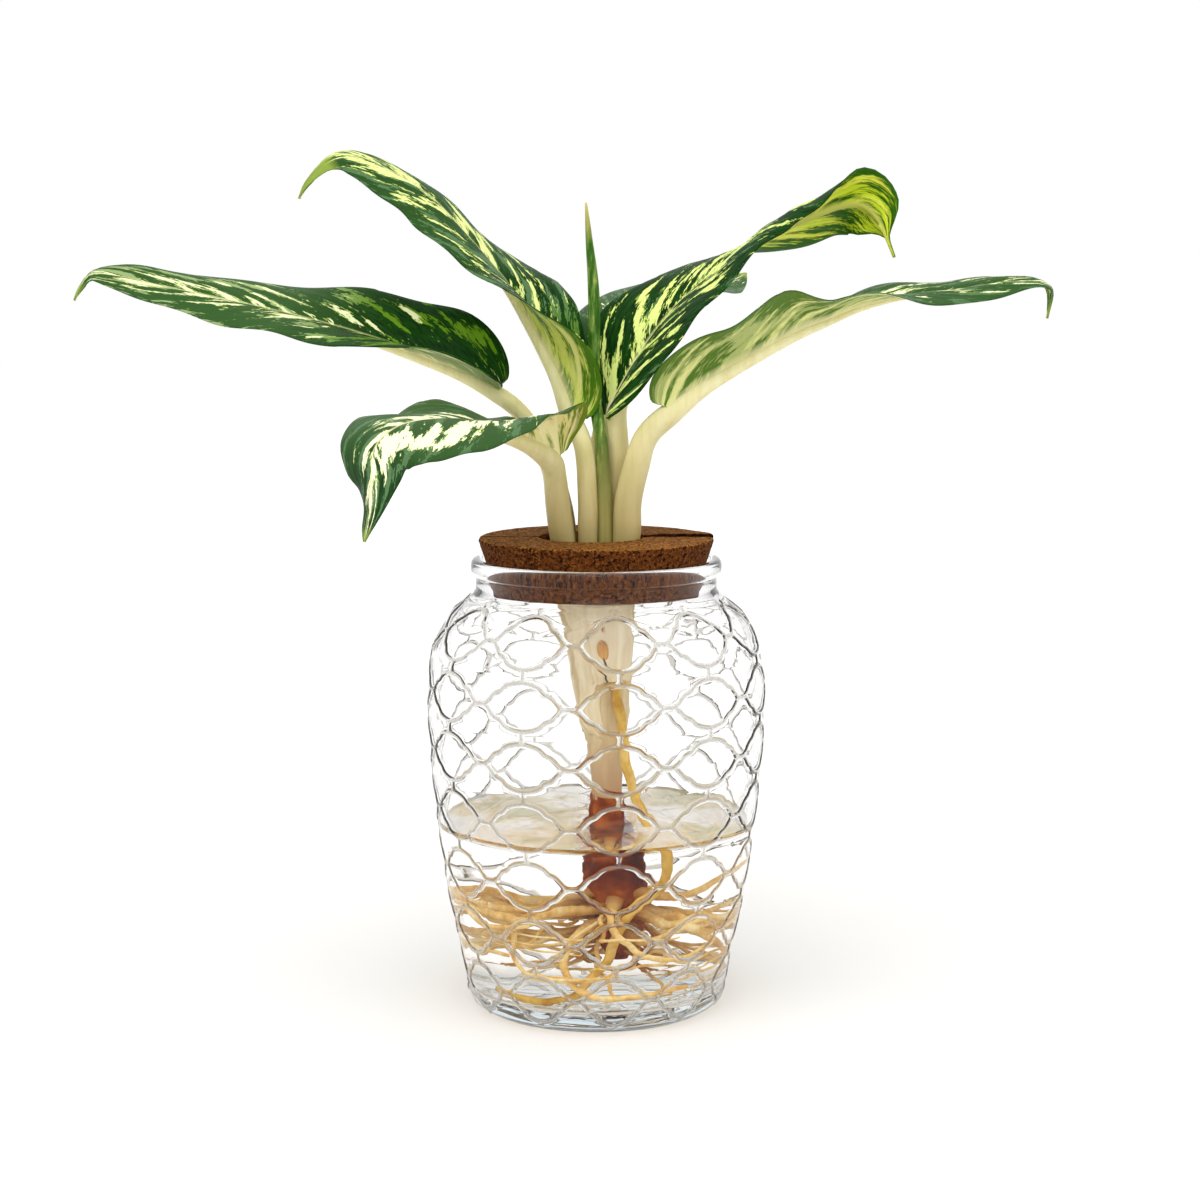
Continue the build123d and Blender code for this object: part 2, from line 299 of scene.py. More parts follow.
glass = {
    "tint": (1.0, 1.0, 1.0), "ior": 1.5, "shadow": (0.95, 0.943, 0.93),
    # the floor tone here is a painted blue reflection, and the ridge tone is painted shade
    "floorTone": (0.7, 0.8, 0.86), "paintedReflectionTop": 0.0092, "paintedReflectionFoot": 0.007,
    "ridgePaintedShade": (0.5, 0.47, 0.41), "ridgePaintedShadeShare": 0.34, "reflection": (0.25, 0.25, 0.25),
}
water = {
    "tint": (0.995, 0.985, 0.965), "ior": 1.333, "shadow": (0.975, 0.96, 0.93),
    "paintedReflectionTones": [(0.38, srgb(202, 200, 170)), (0.47, srgb(232, 218, 184)), (0.56, srgb(253, 252, 250))],
    "paintedReflectionShare": [(0.36, 0.7), (0.6, 0.5)], "stemX": 0.0042, "stemClear": [(0.27, 0.08), (0.45, 1)], "clearScale": 30.0,
    "level": 76.4, "overlap": 0.3, "sink": 0.1, "climb": 0.9, "steps": 20, "around": 132, "topFacing": 0.7,
    "floorRings": [6, 14, 22, 30, 36],
    "edge": [(0.2, 0.6), (0.7, 0.3), (1.4, 0.1), (2.4, 0.02), (6.0, 0.0), (30.0, 0.0)],
}


def clearMaterial(name, finish):
    material, shader = newMaterial(name)
    setInputs(shader, Base_Color=finish["tint"], Transmission_Weight=1.0, IOR=finish["ior"], Roughness=0.0,
              Specular_Tint=glass["reflection"])
    path = addNode(shader, "LightPath").outputs
    through = addNode(shader, "BsdfTransparent", Color=finish["shadow"])
    layOver(shader, calc("MAXIMUM", path["Is Shadow Ray"], path["Is Diffuse Ray"]), through)
    return material, shader


def glassLook():
    # clear glass, with painted shade along the raised ridges for the dark they refract, and a painted blue reflection
    # in the thick floor
    material, shader = clearMaterial("clearPressedGlass", glass)
    ridgeMark = addNode(shader, "Attribute")
    ridgeMark.attribute_name = "ridge"
    ridge = ridgeMark.outputs["Fac"]
    # painted reflection: the low part of the glass is tinted blue for the sky it reflects
    low = fade(axis(objectPlace(shader), 2), glass["paintedReflectionTop"], glass["paintedReflectionFoot"])
    tone = mixColour(low, glass["tint"], glass["floorTone"])
    # painted shade along the ridges, strongest where they face the view, for the dark they refract
    facing = addNode(shader, "LayerWeight", Blend=0.5).outputs["Facing"]
    share = times(ridge, ramp(facing, [(0.35, 1), (0.8, 0.15)]))
    setInputs(shader, Base_Color=mixColour(share, tone, glass["ridgePaintedShade"]))
    # a dull diffuse layer of painted shade over the ridge crests
    paintedRidgeShade = addNode(shader, "BsdfDiffuse", Color=glass["ridgePaintedShade"])
    layOver(shader, ramp(ridge, [(0.3, 0), (0.9, glass["ridgePaintedShadeShare"])]), paintedRidgeShade)
    return material


def waterSurface():
    # the top of the water, with pale patches of painted reflection that leave a strip by the stem clear
    material, shader = clearMaterial("waterSurface", water)
    setInputs(shader, Specular_Tint=(1, 1, 1))
    place = objectPlace(shader)
    patch = noiseAt(place, 34.0, 4.0, 0.55)
    away = times(calc("ABSOLUTE", minus(axis(place, 0), water["stemX"])), water["clearScale"])
    share = times(ramp(patch, water["paintedReflectionShare"]), ramp(away, water["stemClear"]))
    # a pale diffuse layer of painted reflection over the clear water top
    layOver(shader, share, addNode(shader, "BsdfDiffuse", Color=ramp(patch, water["paintedReflectionTones"])))
    return material


# the jar: pressed glass, a turned profile of radius and height with a raised lattice

jar = {
    "wall": 2.6, "base": 7.5, "dish": 0.6, "dishRadius": 40, "bend": 9.0, "bendTop": 17.0, "bendSteps": 7,
    "heel": [(44.2, 0.0), (47.8, 1.0), (50.6, 3.4), (52.2, 7.4), (53.0, 12.0)],
    "body": [(53.0, 12), (60.0, 48), (65.2, 88), (67.5, 126), (65.2, 148), (58.6, 160), (50.6, 167), (48.2, 170)],
    "shoulder": [168.2, 169.2, 170.0],
    "neck": [(48.2, 172.5), (48.2, 174.8), (48.45, 175.3)],
    "rim": [(49.1, 175.7), (49.75, 176.3), (50.1, 177.4), (50.2, 178.8), (50.1, 180.0), (49.7, 181.1), (49.0, 181.8),
            (48.0, 182.0)],
    "bore": [(46.6, 181.95), (45.7, 181.6), (45.2, 180.7), (45.2, 176.0), (45.2, 171.5)],
    "inside": [169.6, 168.0, 166.0, 163.5], "insideTop": 162.0, "insideSteps": 43,
    "floorRings": [36, 28, 20, 12, 5],
    "underside": [(49.0, 1.9), (47.6, 1.0), (46.0, 0.35), (44.2, 0.0), (36.2, 0.0), (34.7, 0.25), (31.2, 1.4),
                  (27.2, 1.6), (16, 2.0), (6, 2.2)],
    "punt": 2.25,
}
lattice = {
    "columns": 11, "rows": 7, "firstRow": 2.6, "rowPitch": 23.53, "turn": 7.9, "meanRadius": 62.0,
    "ridgeHalf": 0.95, "ridgeHeight": 0.5, "ridgeRound": 1.1, "nearRidge": 2, "slopeStep": 0.3, "keySteps": 4000,
    "uprightHalf": 0.1, "levelHalf": 0.07, "edgeSteps": 14, "edgeSplit": 12, "inward": 0.75, "home": 0.4,
    "scallop": [(0, 0), (0.15, 0.03), (0.3, 0.09), (0.46, 0.21), (0.55, 0.38), (0.63, 0.46), (0.74, 0.53), (0.86, 0.76),
                (1, 1)],
    "rings": [0.28, 0.55, 0.78, 1.0, 1.35], "inner": [0.8, 0.5, 0.2], "footMiddle": 0.27,
}
outline = [(height, radius) for radius, height in jar["heel"] + jar["body"][1:]]


def outerRadius(height):
    for index, (below, above) in enumerate(zip(outline, outline[1:])):
        if below[0] <= height <= above[0]:
            return curveAt(outline, index + (height - below[0]) / (above[0] - below[0]))[1]
    return outline[-1][1]


def floorRows(radii, sink=0.0):
    # the dished floor inside the jar
    return [(r, jar["base"] - jar["dish"] * (1 - r / jar["dishRadius"]) - sink) for r in radii]


def bendRows(outset=0.0, sink=0.0):
    # the round corner from the inside wall down to the floor
    top = jar["bendTop"]
    wall = outerRadius(top) - jar["wall"] + outset
    angles = [math.radians(90 * i / jar["bendSteps"]) for i in range(jar["bendSteps"] + 1)]
    drop = top + sink - jar["base"]
    return [(wall - jar["bend"] * (1 - math.cos(angle)), top - drop * math.sin(angle)) for angle in angles]


def quarterEdge():
    # from the end of an upright bridge to the end of a level bridge, in shares of a column and a row
    low, side, steps = lattice["uprightHalf"], 0.5 - lattice["levelHalf"], lattice["edgeSteps"]
    rows = lattice["scallop"]
    points = [curveAt(rows, (len(rows) - 1) * step / steps) for step in range(steps + 1)]
    return [(side * along, low + (0.5 - low) * rise) for along, rise in points]


def latticeLines():
    # every ridge near one cell, as short straight runs
    low, side = lattice["uprightHalf"], lattice["levelHalf"]
    edge = quarterEdge()
    runs = []
    for column in (-1, 0, 1, 2):
        for row in (-1, 0, 1, 2):
            runs.append(((column, row - low), (column, row + low)))
            runs.append(((column + 0.5 - side, row + 0.5), (column + 0.5 + side, row + 0.5)))
            for sx, sy in ((-1, -1), (-1, 1), (1, -1), (1, 1)):
                walk = [(column + sx * a, row + sy * b) for a, b in edge]
                runs += zip(walk, walk[1:])
    return runs


def flatPlace(point):
    width = fullTurn * lattice["meanRadius"] / lattice["columns"]
    return (point[0] * width, point[1] * lattice["rowPitch"])


def ridgeLift(point, runs):
    px, py = flatPlace(point)
    near, half = lattice["nearRidge"], lattice["ridgeHalf"]
    best = half
    for a, b in runs:
        ax, ay = flatPlace(a)
        bx, by = flatPlace(b)
        if min(ax, bx) - near > px or max(ax, bx) + near < px or min(ay, by) - near > py or max(ay, by) + near < py:
            continue
        dx, dy = bx - ax, by - ay
        share = ((px - ax) * dx + (py - ay) * dy) / (dx * dx + dy * dy)
        share = min(max(share, 0), 1)
        best = min(best, math.hypot(px - ax - dx * share, py - ay - dy * share))
    return lattice["ridgeHeight"] * (1 - (best / half) ** 2) ** lattice["ridgeRound"]


def cellOutlines():
    # the three kinds of cell: between uprights, between levels, and the halves at the top and foot
    edge = quarterEdge()
    back = edge[::-1]
    tall = edge + [(a, 1 - b) for a, b in back[1:]]
    tall += [(-a, 1 - b) for a, b in edge[1:]] + [(-a, b) for a, b in back[1:-1]]
    half = [(0, 0)] + edge + [(0.5, 0.5)] + [(1 - a, b) for a, b in back] + [(1, 0)]
    wide = half + [(x, -y) for x, y in half[-2:0:-1]]
    foot = half + [(1 - i / lattice["edgeSplit"], 0.0) for i in range(1, lattice["edgeSplit"])]
    return {"tall": (tall, (0, 0.5)), "wide": (wide, (0.5, 0)), "foot": (foot, (0.5, lattice["footMiddle"]))}


def insetRings(cell, centre):
    # rings that step in from the ridge line towards the middle of a cell
    points = [flatPlace(p) for p in cell]
    middle = flatPlace(centre)
    count = len(points)
    turn = sum(points[i - 1][0] * points[i][1] - points[i][0] * points[i - 1][1] for i in range(count))
    sign = 1 if turn > 0 else -1
    ways = []
    for i in range(count):
        before, after = points[i - 1], points[(i + 1) % count]
        along = Vector((after[0] - before[0], after[1] - before[1])).normalized()
        inward = Vector((-along.y, along.x)) * sign
        home = Vector((middle[0] - points[i][0], middle[1] - points[i][1])).normalized()
        ways.append((inward * lattice["inward"] + home * lattice["home"]).normalized())
    rings = [points]
    for reach in lattice["rings"]:
        ring = [(x + way.x * reach, y + way.y * reach) for (x, y), way in zip(points, ways)]
        for _ in range(2):
            ring = [[0.5 * ring[i][k] + 0.25 * (ring[i - 1][k] + ring[(i + 1) % count][k]) for k in (0, 1)]
                    for i in range(count)]
        rings.append(ring)
    rings += [[[m + (p - m) * share for p, m in zip(point, middle)] for point in ring] for share in lattice["inner"]]
    width, pitch = flatPlace((1, 1))
    return [[(x / width, y / pitch) for x, y in ring] for ring in rings]


def makeJar(material):
    runs = latticeLines()
    kinds = {}
    for kind, (cell, centre) in cellOutlines().items():
        rings = insetRings(cell, centre)
        kinds[kind] = ([[(x, y, ridgeLift((x, y), runs)) for x, y in ring] for ring in rings], centre)
    verts, faces, lifts, known = [], [], {}, {}
    columns, rows, split = lattice["columns"], lattice["rows"], lattice["edgeSplit"]
    keys, step = lattice["keySteps"], lattice["slopeStep"]
    around = columns * split

    def glassPoint(column, row, lift):
        key = (round(column % columns * keys) % (columns * keys), round(row * keys))
        if key not in known:
            angle = math.radians(lattice["turn"] + 360 / columns * column)
            height = lattice["firstRow"] + lattice["rowPitch"] * row
            tilt = math.atan((outerRadius(height + step) - outerRadius(max(height - step, 0))) / (2 * step))
            known[key] = len(verts)
            lifts[len(verts)] = lift / lattice["ridgeHeight"]
            verts.append(onCircle(outerRadius(height) + lift * math.cos(tilt), angle, height - lift * math.sin(tilt)))
        return known[key]

    def stitch(first, second):
        for i in range(len(first)):
            j = (i + 1) % len(first)
            faces.append((first[i], first[j], second[j], second[i]))

    def fan(row, hub, below=False):
        for i, a in enumerate(row):
            b = row[(i + 1) % len(row)]
            faces.append((b, a, hub) if below else (a, b, hub))

    def addCell(kind, column, row, up=1):
        rings, centre = kinds[kind]
        grid = [[glassPoint(column + x, row + up * y, lift) for x, y, lift in ring] for ring in rings]
        hub = glassPoint(column + centre[0], row + up * centre[1], 0)
        for outerRing, innerRing in zip(grid, grid[1:]):
            stitch(outerRing, innerRing)
        fan(grid[-1], hub)

    def addTurned(edge, profile, hubHeight, below):
        # plain turned rows from an edge row of the lattice to a closed middle
        previous = [glassPoint(i / split, edge, 0) for i in range(around)]
        for radius, height in profile:
            row = list(range(len(verts), len(verts) + around))
            for i in range(around):
                verts.append(onCircle(radius, math.radians(lattice["turn"] + 360 * i / around), height))
            stitch(*((row, previous) if below else (previous, row)))
            previous = row
        verts.append((0, 0, hubHeight * mm))
        fan(previous, len(verts) - 1, below)

    for column in range(columns):
        for row in range(rows):
            addCell("tall", column, row)
        for row in range(1, rows):
            addCell("wide", column, row)
        addCell("foot", column, 0)
        addCell("foot", column, rows, -1)
    top, steps = jar["insideTop"], jar["insideSteps"]
    heights = jar["inside"] + [top - i * (top - jar["bendTop"]) / steps for i in range(1, steps + 1)]
    upper = [(outerRadius(height), height) for height in jar["shoulder"]] + jar["neck"] + jar["rim"] + jar["bore"]
    upper += [(outerRadius(height) - jar["wall"], height) for height in heights]
    upper += bendRows()[1:] + floorRows(jar["floorRings"])
    addTurned(rows, upper, jar["base"] - jar["dish"], False)
    addTurned(0, jar["underside"], jar["punt"], True)
    piece = newPiece("lattice_jar", verts, faces, [material])
    ridge = piece.data.attributes.new("ridge", "FLOAT", "POINT")
    for index, lift in lifts.items():
        ridge.data[index].value = lift
    return piece


def makeWater(material, topMaterial):
    level, overlap, around, foot = water["level"], water["overlap"], water["around"], jar["bendTop"]
    profile = floorRows(water["floorRings"], water["sink"]) + bendRows(overlap, water["sink"])[::-1]
    for i in range(1, water["steps"] + 1):
        height = foot + (level + water["climb"] - foot) * i / water["steps"]
        profile.append((outerRadius(height) - jar["wall"] + overlap, height))
    edge = profile[-1][0] - overlap
    profile += [(edge - back, level + rise) for back, rise in water["edge"]]
    rings = [[onCircle(radius, fullTurn * i / around, height) for i in range(around)] for radius, height in profile]
    piece = newPiece("water_fill", *ringTube(rings), [material, topMaterial])
    for polygon in piece.data.polygons:
        if polygon.normal.z > water["topFacing"] and polygon.center.z > (level - 1) * mm:
            polygon.material_index = 1
    return piece


jarPiece = makeJar(glassLook())
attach(jarPiece, "jar")
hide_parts("glass_jar")
waterPiece = makeWater(clearMaterial("stillWater", water)[0], waterSurface())
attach(waterPiece, "jar")
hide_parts("water")
print("jar and water made", len(jarPiece.data.polygons), "faces")


# the cork lid: pressed granules, in two halves

cork = {
    "voxel": 0.0008, "pit": 0.00045, "grain": 0.0013, "pitGrain": 0.0026, "pitCut": 0.34, "pitDepth": 3.2,
    "flatShare": 0.72, "cells": 1150.0,
    "step": 0.0012, "stepAbove": 0.187, "stepFrom": 0.014, "stepRun": 0.012, "stepDepth": 0.022,
    "tones": [(0.0, srgb(66, 32, 8)), (0.25, srgb(126, 76, 26)), (0.55, srgb(164, 104, 42)),
              (0.8, srgb(206, 142, 72)), (1.0, srgb(98, 52, 16))],
    "blotch": srgb(164, 108, 48), "speck": srgb(44, 18, 6),
    # side and slit darken the cork as painted shade: on the upright faces and along the slit
    "side": [(0.35, (0.46, 0.35, 0.32)), (0.75, 1)], "slit": [(0.27, (0.16, 0.13, 0.12)), (0.5, 1)], "slitScale": 500.0,
}


def corkMaterial():
    material, shader = newMaterial("pressedCork")
    place = objectPlace(shader)
    grain, gap = [addNode(shader, "TexVoronoi", Vector=place, Scale=cork["cells"], Randomness=1.0) for _ in range(2)]
    gap.feature = "DISTANCE_TO_EDGE"
    speck = noiseAt(place, 700.0, 5.0, 0.7)
    tone = ramp(addNode(shader, "SeparateColor", Color=grain.outputs["Color"]).outputs[0], cork["tones"])
    tone = mixColour(ramp(noiseAt(place, 90.0, 6.0, 0.6), [(0.35, 0.1), (0.7, 0.75)]), tone, cork["blotch"])
    tone = mixColour(ramp(speck, [(0.4, 0), (0.5, 1)]), cork["speck"], tone)
    # painted shade in the gaps between the granules
    tone = shaded(tone, ramp(gap.outputs[0], [(0.0, 0.35), (0.12, 1)]))
    # painted shade: upright faces are darker than the top, as light falls from above
    upright = axis(addNode(shader, "NewGeometry").outputs["True Normal"], 2)
    tone = shaded(tone, ramp(upright, cork["side"]))
    # painted shade along the slit between the halves and on the rear half's raised edge there
    tone = shaded(tone, ramp(times(calc("ABSOLUTE", axis(place, 1)), cork["slitScale"]), cork["slit"]))
    coat(shader, tone, speck, (0.95, 0.72), 0.06, plus(gap.outputs[0], times(speck, 0.6)), 0.55, 0.0007)
    return material


def makeCork(node, body, material):
    piece = addObject(node.replace("half", "grain"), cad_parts[node].data.copy())
    remesh = piece.modifiers.new("granules", "REMESH")
    remesh.mode = "VOXEL"
    remesh.voxel_size = cork["voxel"]
    shaped = bpy.data.meshes.new_from_object(piece.evaluated_get(bpy.context.evaluated_depsgraph_get()))
    piece.modifiers.clear()
    piece.data = shaped
    # pits and crumbs, deeper on the cut side wall
    moves = []
    for vertex in shaped.vertices:
        spot = vertex.co / cork["grain"]
        crumb = noise.noise(spot) + 0.5 * noise.noise(spot * 2.3)
        pit = max(0.0, noise.noise(vertex.co / cork["pitGrain"] + Vector((7, 3, 5))) - cork["pitCut"])
        side = 1.0 - cork["flatShare"] * abs(vertex.normal.z)
        move = vertex.normal * (cork["pit"] * side * (crumb * 0.5 - cork["pitDepth"] * pit))
        if body == "cork_rear" and vertex.co.z > cork["stepAbove"]:
            # the rear half stands a little proud at the right end of the slit
            proud = min(1.0, max(0.0, (vertex.co.x - cork["stepFrom"]) / cork["stepRun"]))
            move.z += cork["step"] * proud * max(0.0, 1 - vertex.co.y / cork["stepDepth"])
        moves.append(move)
    for vertex, move in zip(shaped.vertices, moves):
        vertex.co += move
    shaped.materials.clear()
    shaped.materials.append(material)
    for polygon in shaped.polygons:
        polygon.use_smooth = True
    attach(piece, body)
    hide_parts(node)


corkLook = corkMaterial()
makeCork("cork_front_half", "cork_front", corkLook)
makeCork("cork_rear_half", "cork_rear", corkLook)
print("cork halves made")


# the plant: stalks, blades, spear, stem, crown and roots
# a stalk row is x, y, z and radius, a blade row x, y, z and the lift of the left and the right half

plant = {
    "bundleFoot": 172.0, "bundleSqueeze": 0.78, "footSlender": 0.72, "ribReach": 0.72, "ribTip": 0.35, "ribSink": 0.3,
    "ribDrop": 0.9, "ribRows": 9, "stalkSteps": 90, "stalkSides": 28,
    "fibres": [(0.012, 9, 1), (0.008, 17, 2)], "wingTurn": 3.6, "wingWide": 0.3, "wingEnd": 0.38, "wingFade": 0.03,
}
leaves = {
    "far_left": {
        "halfWidth": 26.0, "taper": 1.7, "lobe": 3.0, "seed": 3, "cream": 0.63, "splash": 0.05, "limeReach": 0.42,
        "limeCut": 0.07, "greyCut": 0.6, "paintedSheen": [(0.28, 0), (0.5, 0.75)],
        "creamTone": (234, 237, 190), "greyTone": (148, 170, 112),
        "under": (142, 160, 106), "underDeep": (96, 122, 60), "underPale": (232, 229, 170),
        "stalk": [(-12.4, 7.4, 191, 4.5), (-14.6, 8.4, 204, 4.5), (-19.8, 8.4, 222, 4.1), (-29.5, 6.0, 238.5, 3.5)],
        "blade": [
            (-39, 4.6, 250.5, 16, 62), (-54, 6, 257.5, 13, 62), (-74, 10, 264.5, 2, 50), (-97, 14, 272, -16, 39),
            (-123, 16, 279, -17, 25), (-149, 16, 285, -29, 21), (-172, 14, 290, -34, 20), (-190, 12, 294, -38, 24),
            (-201, 10, 295, -45, 5), (-206, 9, 289, -50, -40), (-208, 9, 284, -40, -40)],
    },
    "front_left": {
        "halfWidth": 26.0, "taper": 2.0, "lobe": 4.0, "seed": 11, "cream": 0.612, "splash": 0.2, "limeReach": 0.0,
        "baseShare": 0.09, "margin": 0.78, "sheen": 0.08, "tailStart": 0.965, "rightCream": -0.1, "deepCut": 0.49,
        "paintedSheen": [(0.0, 0.7), (0.7, 0.7), (0.86, 0)], "creamTone": (251, 247, 210),
        "drift": [(0.0, 0.3), (0.36, 0.36), (0.52, 0.5), (0.66, 0.46), (0.8, 0.08)],
        "under": (236, 226, 150), "underDeep": (112, 134, 28), "underPale": (248, 240, 178),
        "stalk": [(-13.4, -4.6, 191, 5.0), (-15.2, -5.6, 204, 4.9), (-16.2, -7.4, 214, 4.6)],
        "blade": [
            (-17, -10, 225, 54, 55), (-22, -16, 229, 42, 33), (-30, -26, 233.5, 23, 14), (-41, -46, 237.5, 8, 22),
            (-54, -70, 242.5, -19, -1), (-68, -92, 242.5, -37, -2), (-76, -106, 238, -40, -4),
            (-79, -114, 232, -40, -24), (-79, -120, 224.5, -32, -40), (-79.5, -126, 214, -24, -44),
            (-80.5, -130, 203, -10, -20)],
    },
    "upper_left": {
        "halfWidth": 26.0, "taper": 1.7, "lobe": 6.0, "seed": 23, "cream": 0.59, "splash": 0.0, "limeReach": 0.22,
        "rightBase": 0.5, "greyCut": 0.56, "deepCut": 0.5, "tailStart": 0.86, "paintedSheen": [(0.3, 0), (0.5, 0.5)],
        "creamTone": (230, 238, 156),
        "under": (214, 222, 100), "underDeep": (78, 126, 20), "underPale": (238, 238, 146),
        "stalk": [(-3.4, -5, 191, 3.9), (-3.4, -4.4, 205, 3.9), (-5.0, -1.6, 226, 3.8)],
        "blade": [
            (-7.6, 2, 241, 64, 72), (-15, 4, 258, 44, 84), (-23, 6, 272, 19, 62), (-30, 9, 284, 3, 36),
            (-38, 11, 295, -12, 15), (-50, 13, 309, -20, 6), (-65, 15, 325, -33, 2), (-82, 15, 336, -42, 2),
            (-97, 13, 342, -48, 4), (-107, 11, 340, -50, 0), (-115, 9, 331, -55, -40), (-118, 9, 324, -50, -50)],
    },
    "upper_right": {
        "halfWidth": 26.0, "taper": 3.0, "lobe": 4.0, "seed": 37, "cream": 0.57, "splash": 0.07, "limeReach": 0.0,
        "ribReach": 0.46, "tail": 0.9, "greyCut": 0.66, "deepCut": 0.5, "creamTone": (226, 240, 140),
        "arch": [(0.0, 0.05), (0.36, 0.05), (0.51, 0.1), (0.6, 0.18), (0.68, 0.22), (0.75, 0.18), (0.84, 0.05),
                 (1.0, 0.05)],
        "under": (206, 226, 40), "underDeep": (44, 98, 6), "underPale": (238, 244, 82), "underRib": (218, 220, 104),
        "stalk": [(7, 7, 191, 4.4), (7.6, 6.2, 206, 4.4), (8.8, 3.6, 224, 4.2)],
        "blade": [
            (4.5, 1, 241, 22, -6), (11, 1, 254, 46, -13), (19, 2, 267, 51, -17), (30, 4, 281, 32, -14),
            (42, 6, 292, 14, -10), (52, 8, 300, 4, -6), (62, 10, 307, -8, -2), (73, 12, 312, -22, 2),
            (86, 13, 317.5, -34, 10), (97, 14, 321.5, -42, 32), (106, 15, 321.5, -50, 66), (113, 14, 315, -50, 60),
            (117, 12, 306, -30, 30), (119, 11, 301, 0, 0)],
    },
    "right": {
        "halfWidth": 25.0, "taper": 1.7, "lobe": 5.0, "seed": 41, "cream": 0.64, "splash": 0.0, "limeReach": 0.0,
        "wing": 0.3, "deepCut": 0.5, "paintedSheen": [(0.3, 0.2), (0.6, 0.7)],
        "under": (176, 188, 112), "underDeep": (88, 122, 40), "underPale": (230, 232, 150),
        "stalk": [(12.2, -4, 191, 5.4), (12.9, -4.2, 205, 5.2), (16.2, -5.6, 219, 4.9), (20.2, -7.4, 231, 4.5)],
        "blade": [
            (27.6, -10, 244, 50, 72), (41, -12, 253.5, 38, 48), (57, -14, 262.5, 22, 32), (70, -16, 269.5, 20, 36),
            (77, -17, 272.8, 15, 40), (83, -17.6, 275.4, 11, 36), (90, -18, 278.2, 6, 20), (102, -18, 283, 6, 10),
            (120, -16, 287, 14, -10), (139, -14, 289, 8, -20), (159, -12, 292, 6, -24), (173, -10, 292, 5, -24),
            (179, -8, 288, -30, -30), (177, -8, 277, -40, -40)],
    },
    "rear": {
        "halfWidth": 24.0, "taper": 2.6, "lobe": 4.0, "seed": 53, "cream": 0.66, "splash": 0.0, "limeReach": 0.0,
        "ruffle": 0.1, "paintedSheen": [(0.0, 0.2), (0.6, 0.8)],
        "under": (142, 160, 106), "underDeep": (96, 122, 60), "underPale": (230, 226, 168),
        "stalk": [(-3, 9, 191, 4.0), (-2, 10.2, 206, 4.0), (1.8, 13.4, 229, 3.8)],
        "blade": [
            (5, 19, 248, 48, 48), (11, 33, 263, 36, 36), (18, 54, 273, 22, 22), (28, 82, 281, 12, 12),
            (40, 110, 286, 10, 0), (52, 132, 289, 12, -12), (62, 148, 291.5, 12, -18), (68, 158, 294, 8, -18)],
    },
}
bladeShape = {
    "rows": 110, "across": 16, "crowd": 1.5, "thickMid": 0.9, "thickEdge": 0.35, "bow": 0.05, "ruffle": 0.55,
    "quilt": 0.2, "veins": 15, "sweep": 0.26, "groove": 0.7, "grooveWide": 1.3, "baseShare": 0.22, "fullShare": 0.34,
    "lobeShare": 0.14, "lobeWide": 5, "trimShare": 0.3, "ribDepth": 0.7, "ribFillet": 1.15, "ribSoft": 0.12,
    "calmWide": 12, "tailSlim": 0.86, "tailRun": 0.05, "look": 0.01,
}


def finishPlantPiece(piece, node):
    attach(piece, "plant")
    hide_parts(node)


def bladeWidth(leaf, share):
    # a rounded base, a full middle and a drawn-out tip
    base, full = leaf.get("baseShare", bladeShape["baseShare"]), bladeShape["fullShare"]
    if share < base:
        return (1 - (1 - share / base) ** 2) ** 0.45
    if share < full:
        return 1.0
    width = 1.02 - ((share - full) / (1 - full)) ** leaf["taper"]
    if share > leaf.get("tail", 1.0):
        width *= 1 - bladeShape["tailSlim"] * min(1.0, (share - leaf["tail"]) / bladeShape["tailRun"])
    return width


def bladeFrames(leaf, shares):
    # midrib point, along, right and up at each share, with the lift of both halves
    look = bladeShape["look"]
    rows = rowsAt(leaf["blade"], shares)
    ahead = rowsAt(leaf["blade"], [min(share + look, 1) for share in shares])
    behind = rowsAt(leaf["blade"], [max(share - look, 0) for share in shares])
    reach = Vector(leaf["blade"][-3][:3]) - Vector(leaf["blade"][0][:3])
    levelRight = reach.cross(Vector((0, 0, 1))).normalized()
    frames = []
    for row, after, before in zip(rows, ahead, behind):
        along = (Vector(after[:3]) - Vector(before[:3])).normalized()
        right = (levelRight - along * levelRight.dot(along)).normalized()
        frames.append((Vector(row[:3]), along, right, right.cross(along), row[3], row[4]))
    return frames


def ribRadius(leaf, share):
    # the midrib under the blade thins out towards the tip
    reach = leaf.get("ribReach", plant["ribReach"])
    return between(leaf["stalk"][-1][3], plant["ribTip"], min(1.0, share / reach) ** 0.6)


def stepped(stops, place):
    # a value that eases from stop to stop
    for (before, low), (after, high) in zip(stops, stops[1:]):
        if place <= after:
            share = (place - before) / (after - before)
            return between(low, high, share * share * (3 - 2 * share))
    return stops[-1][1]


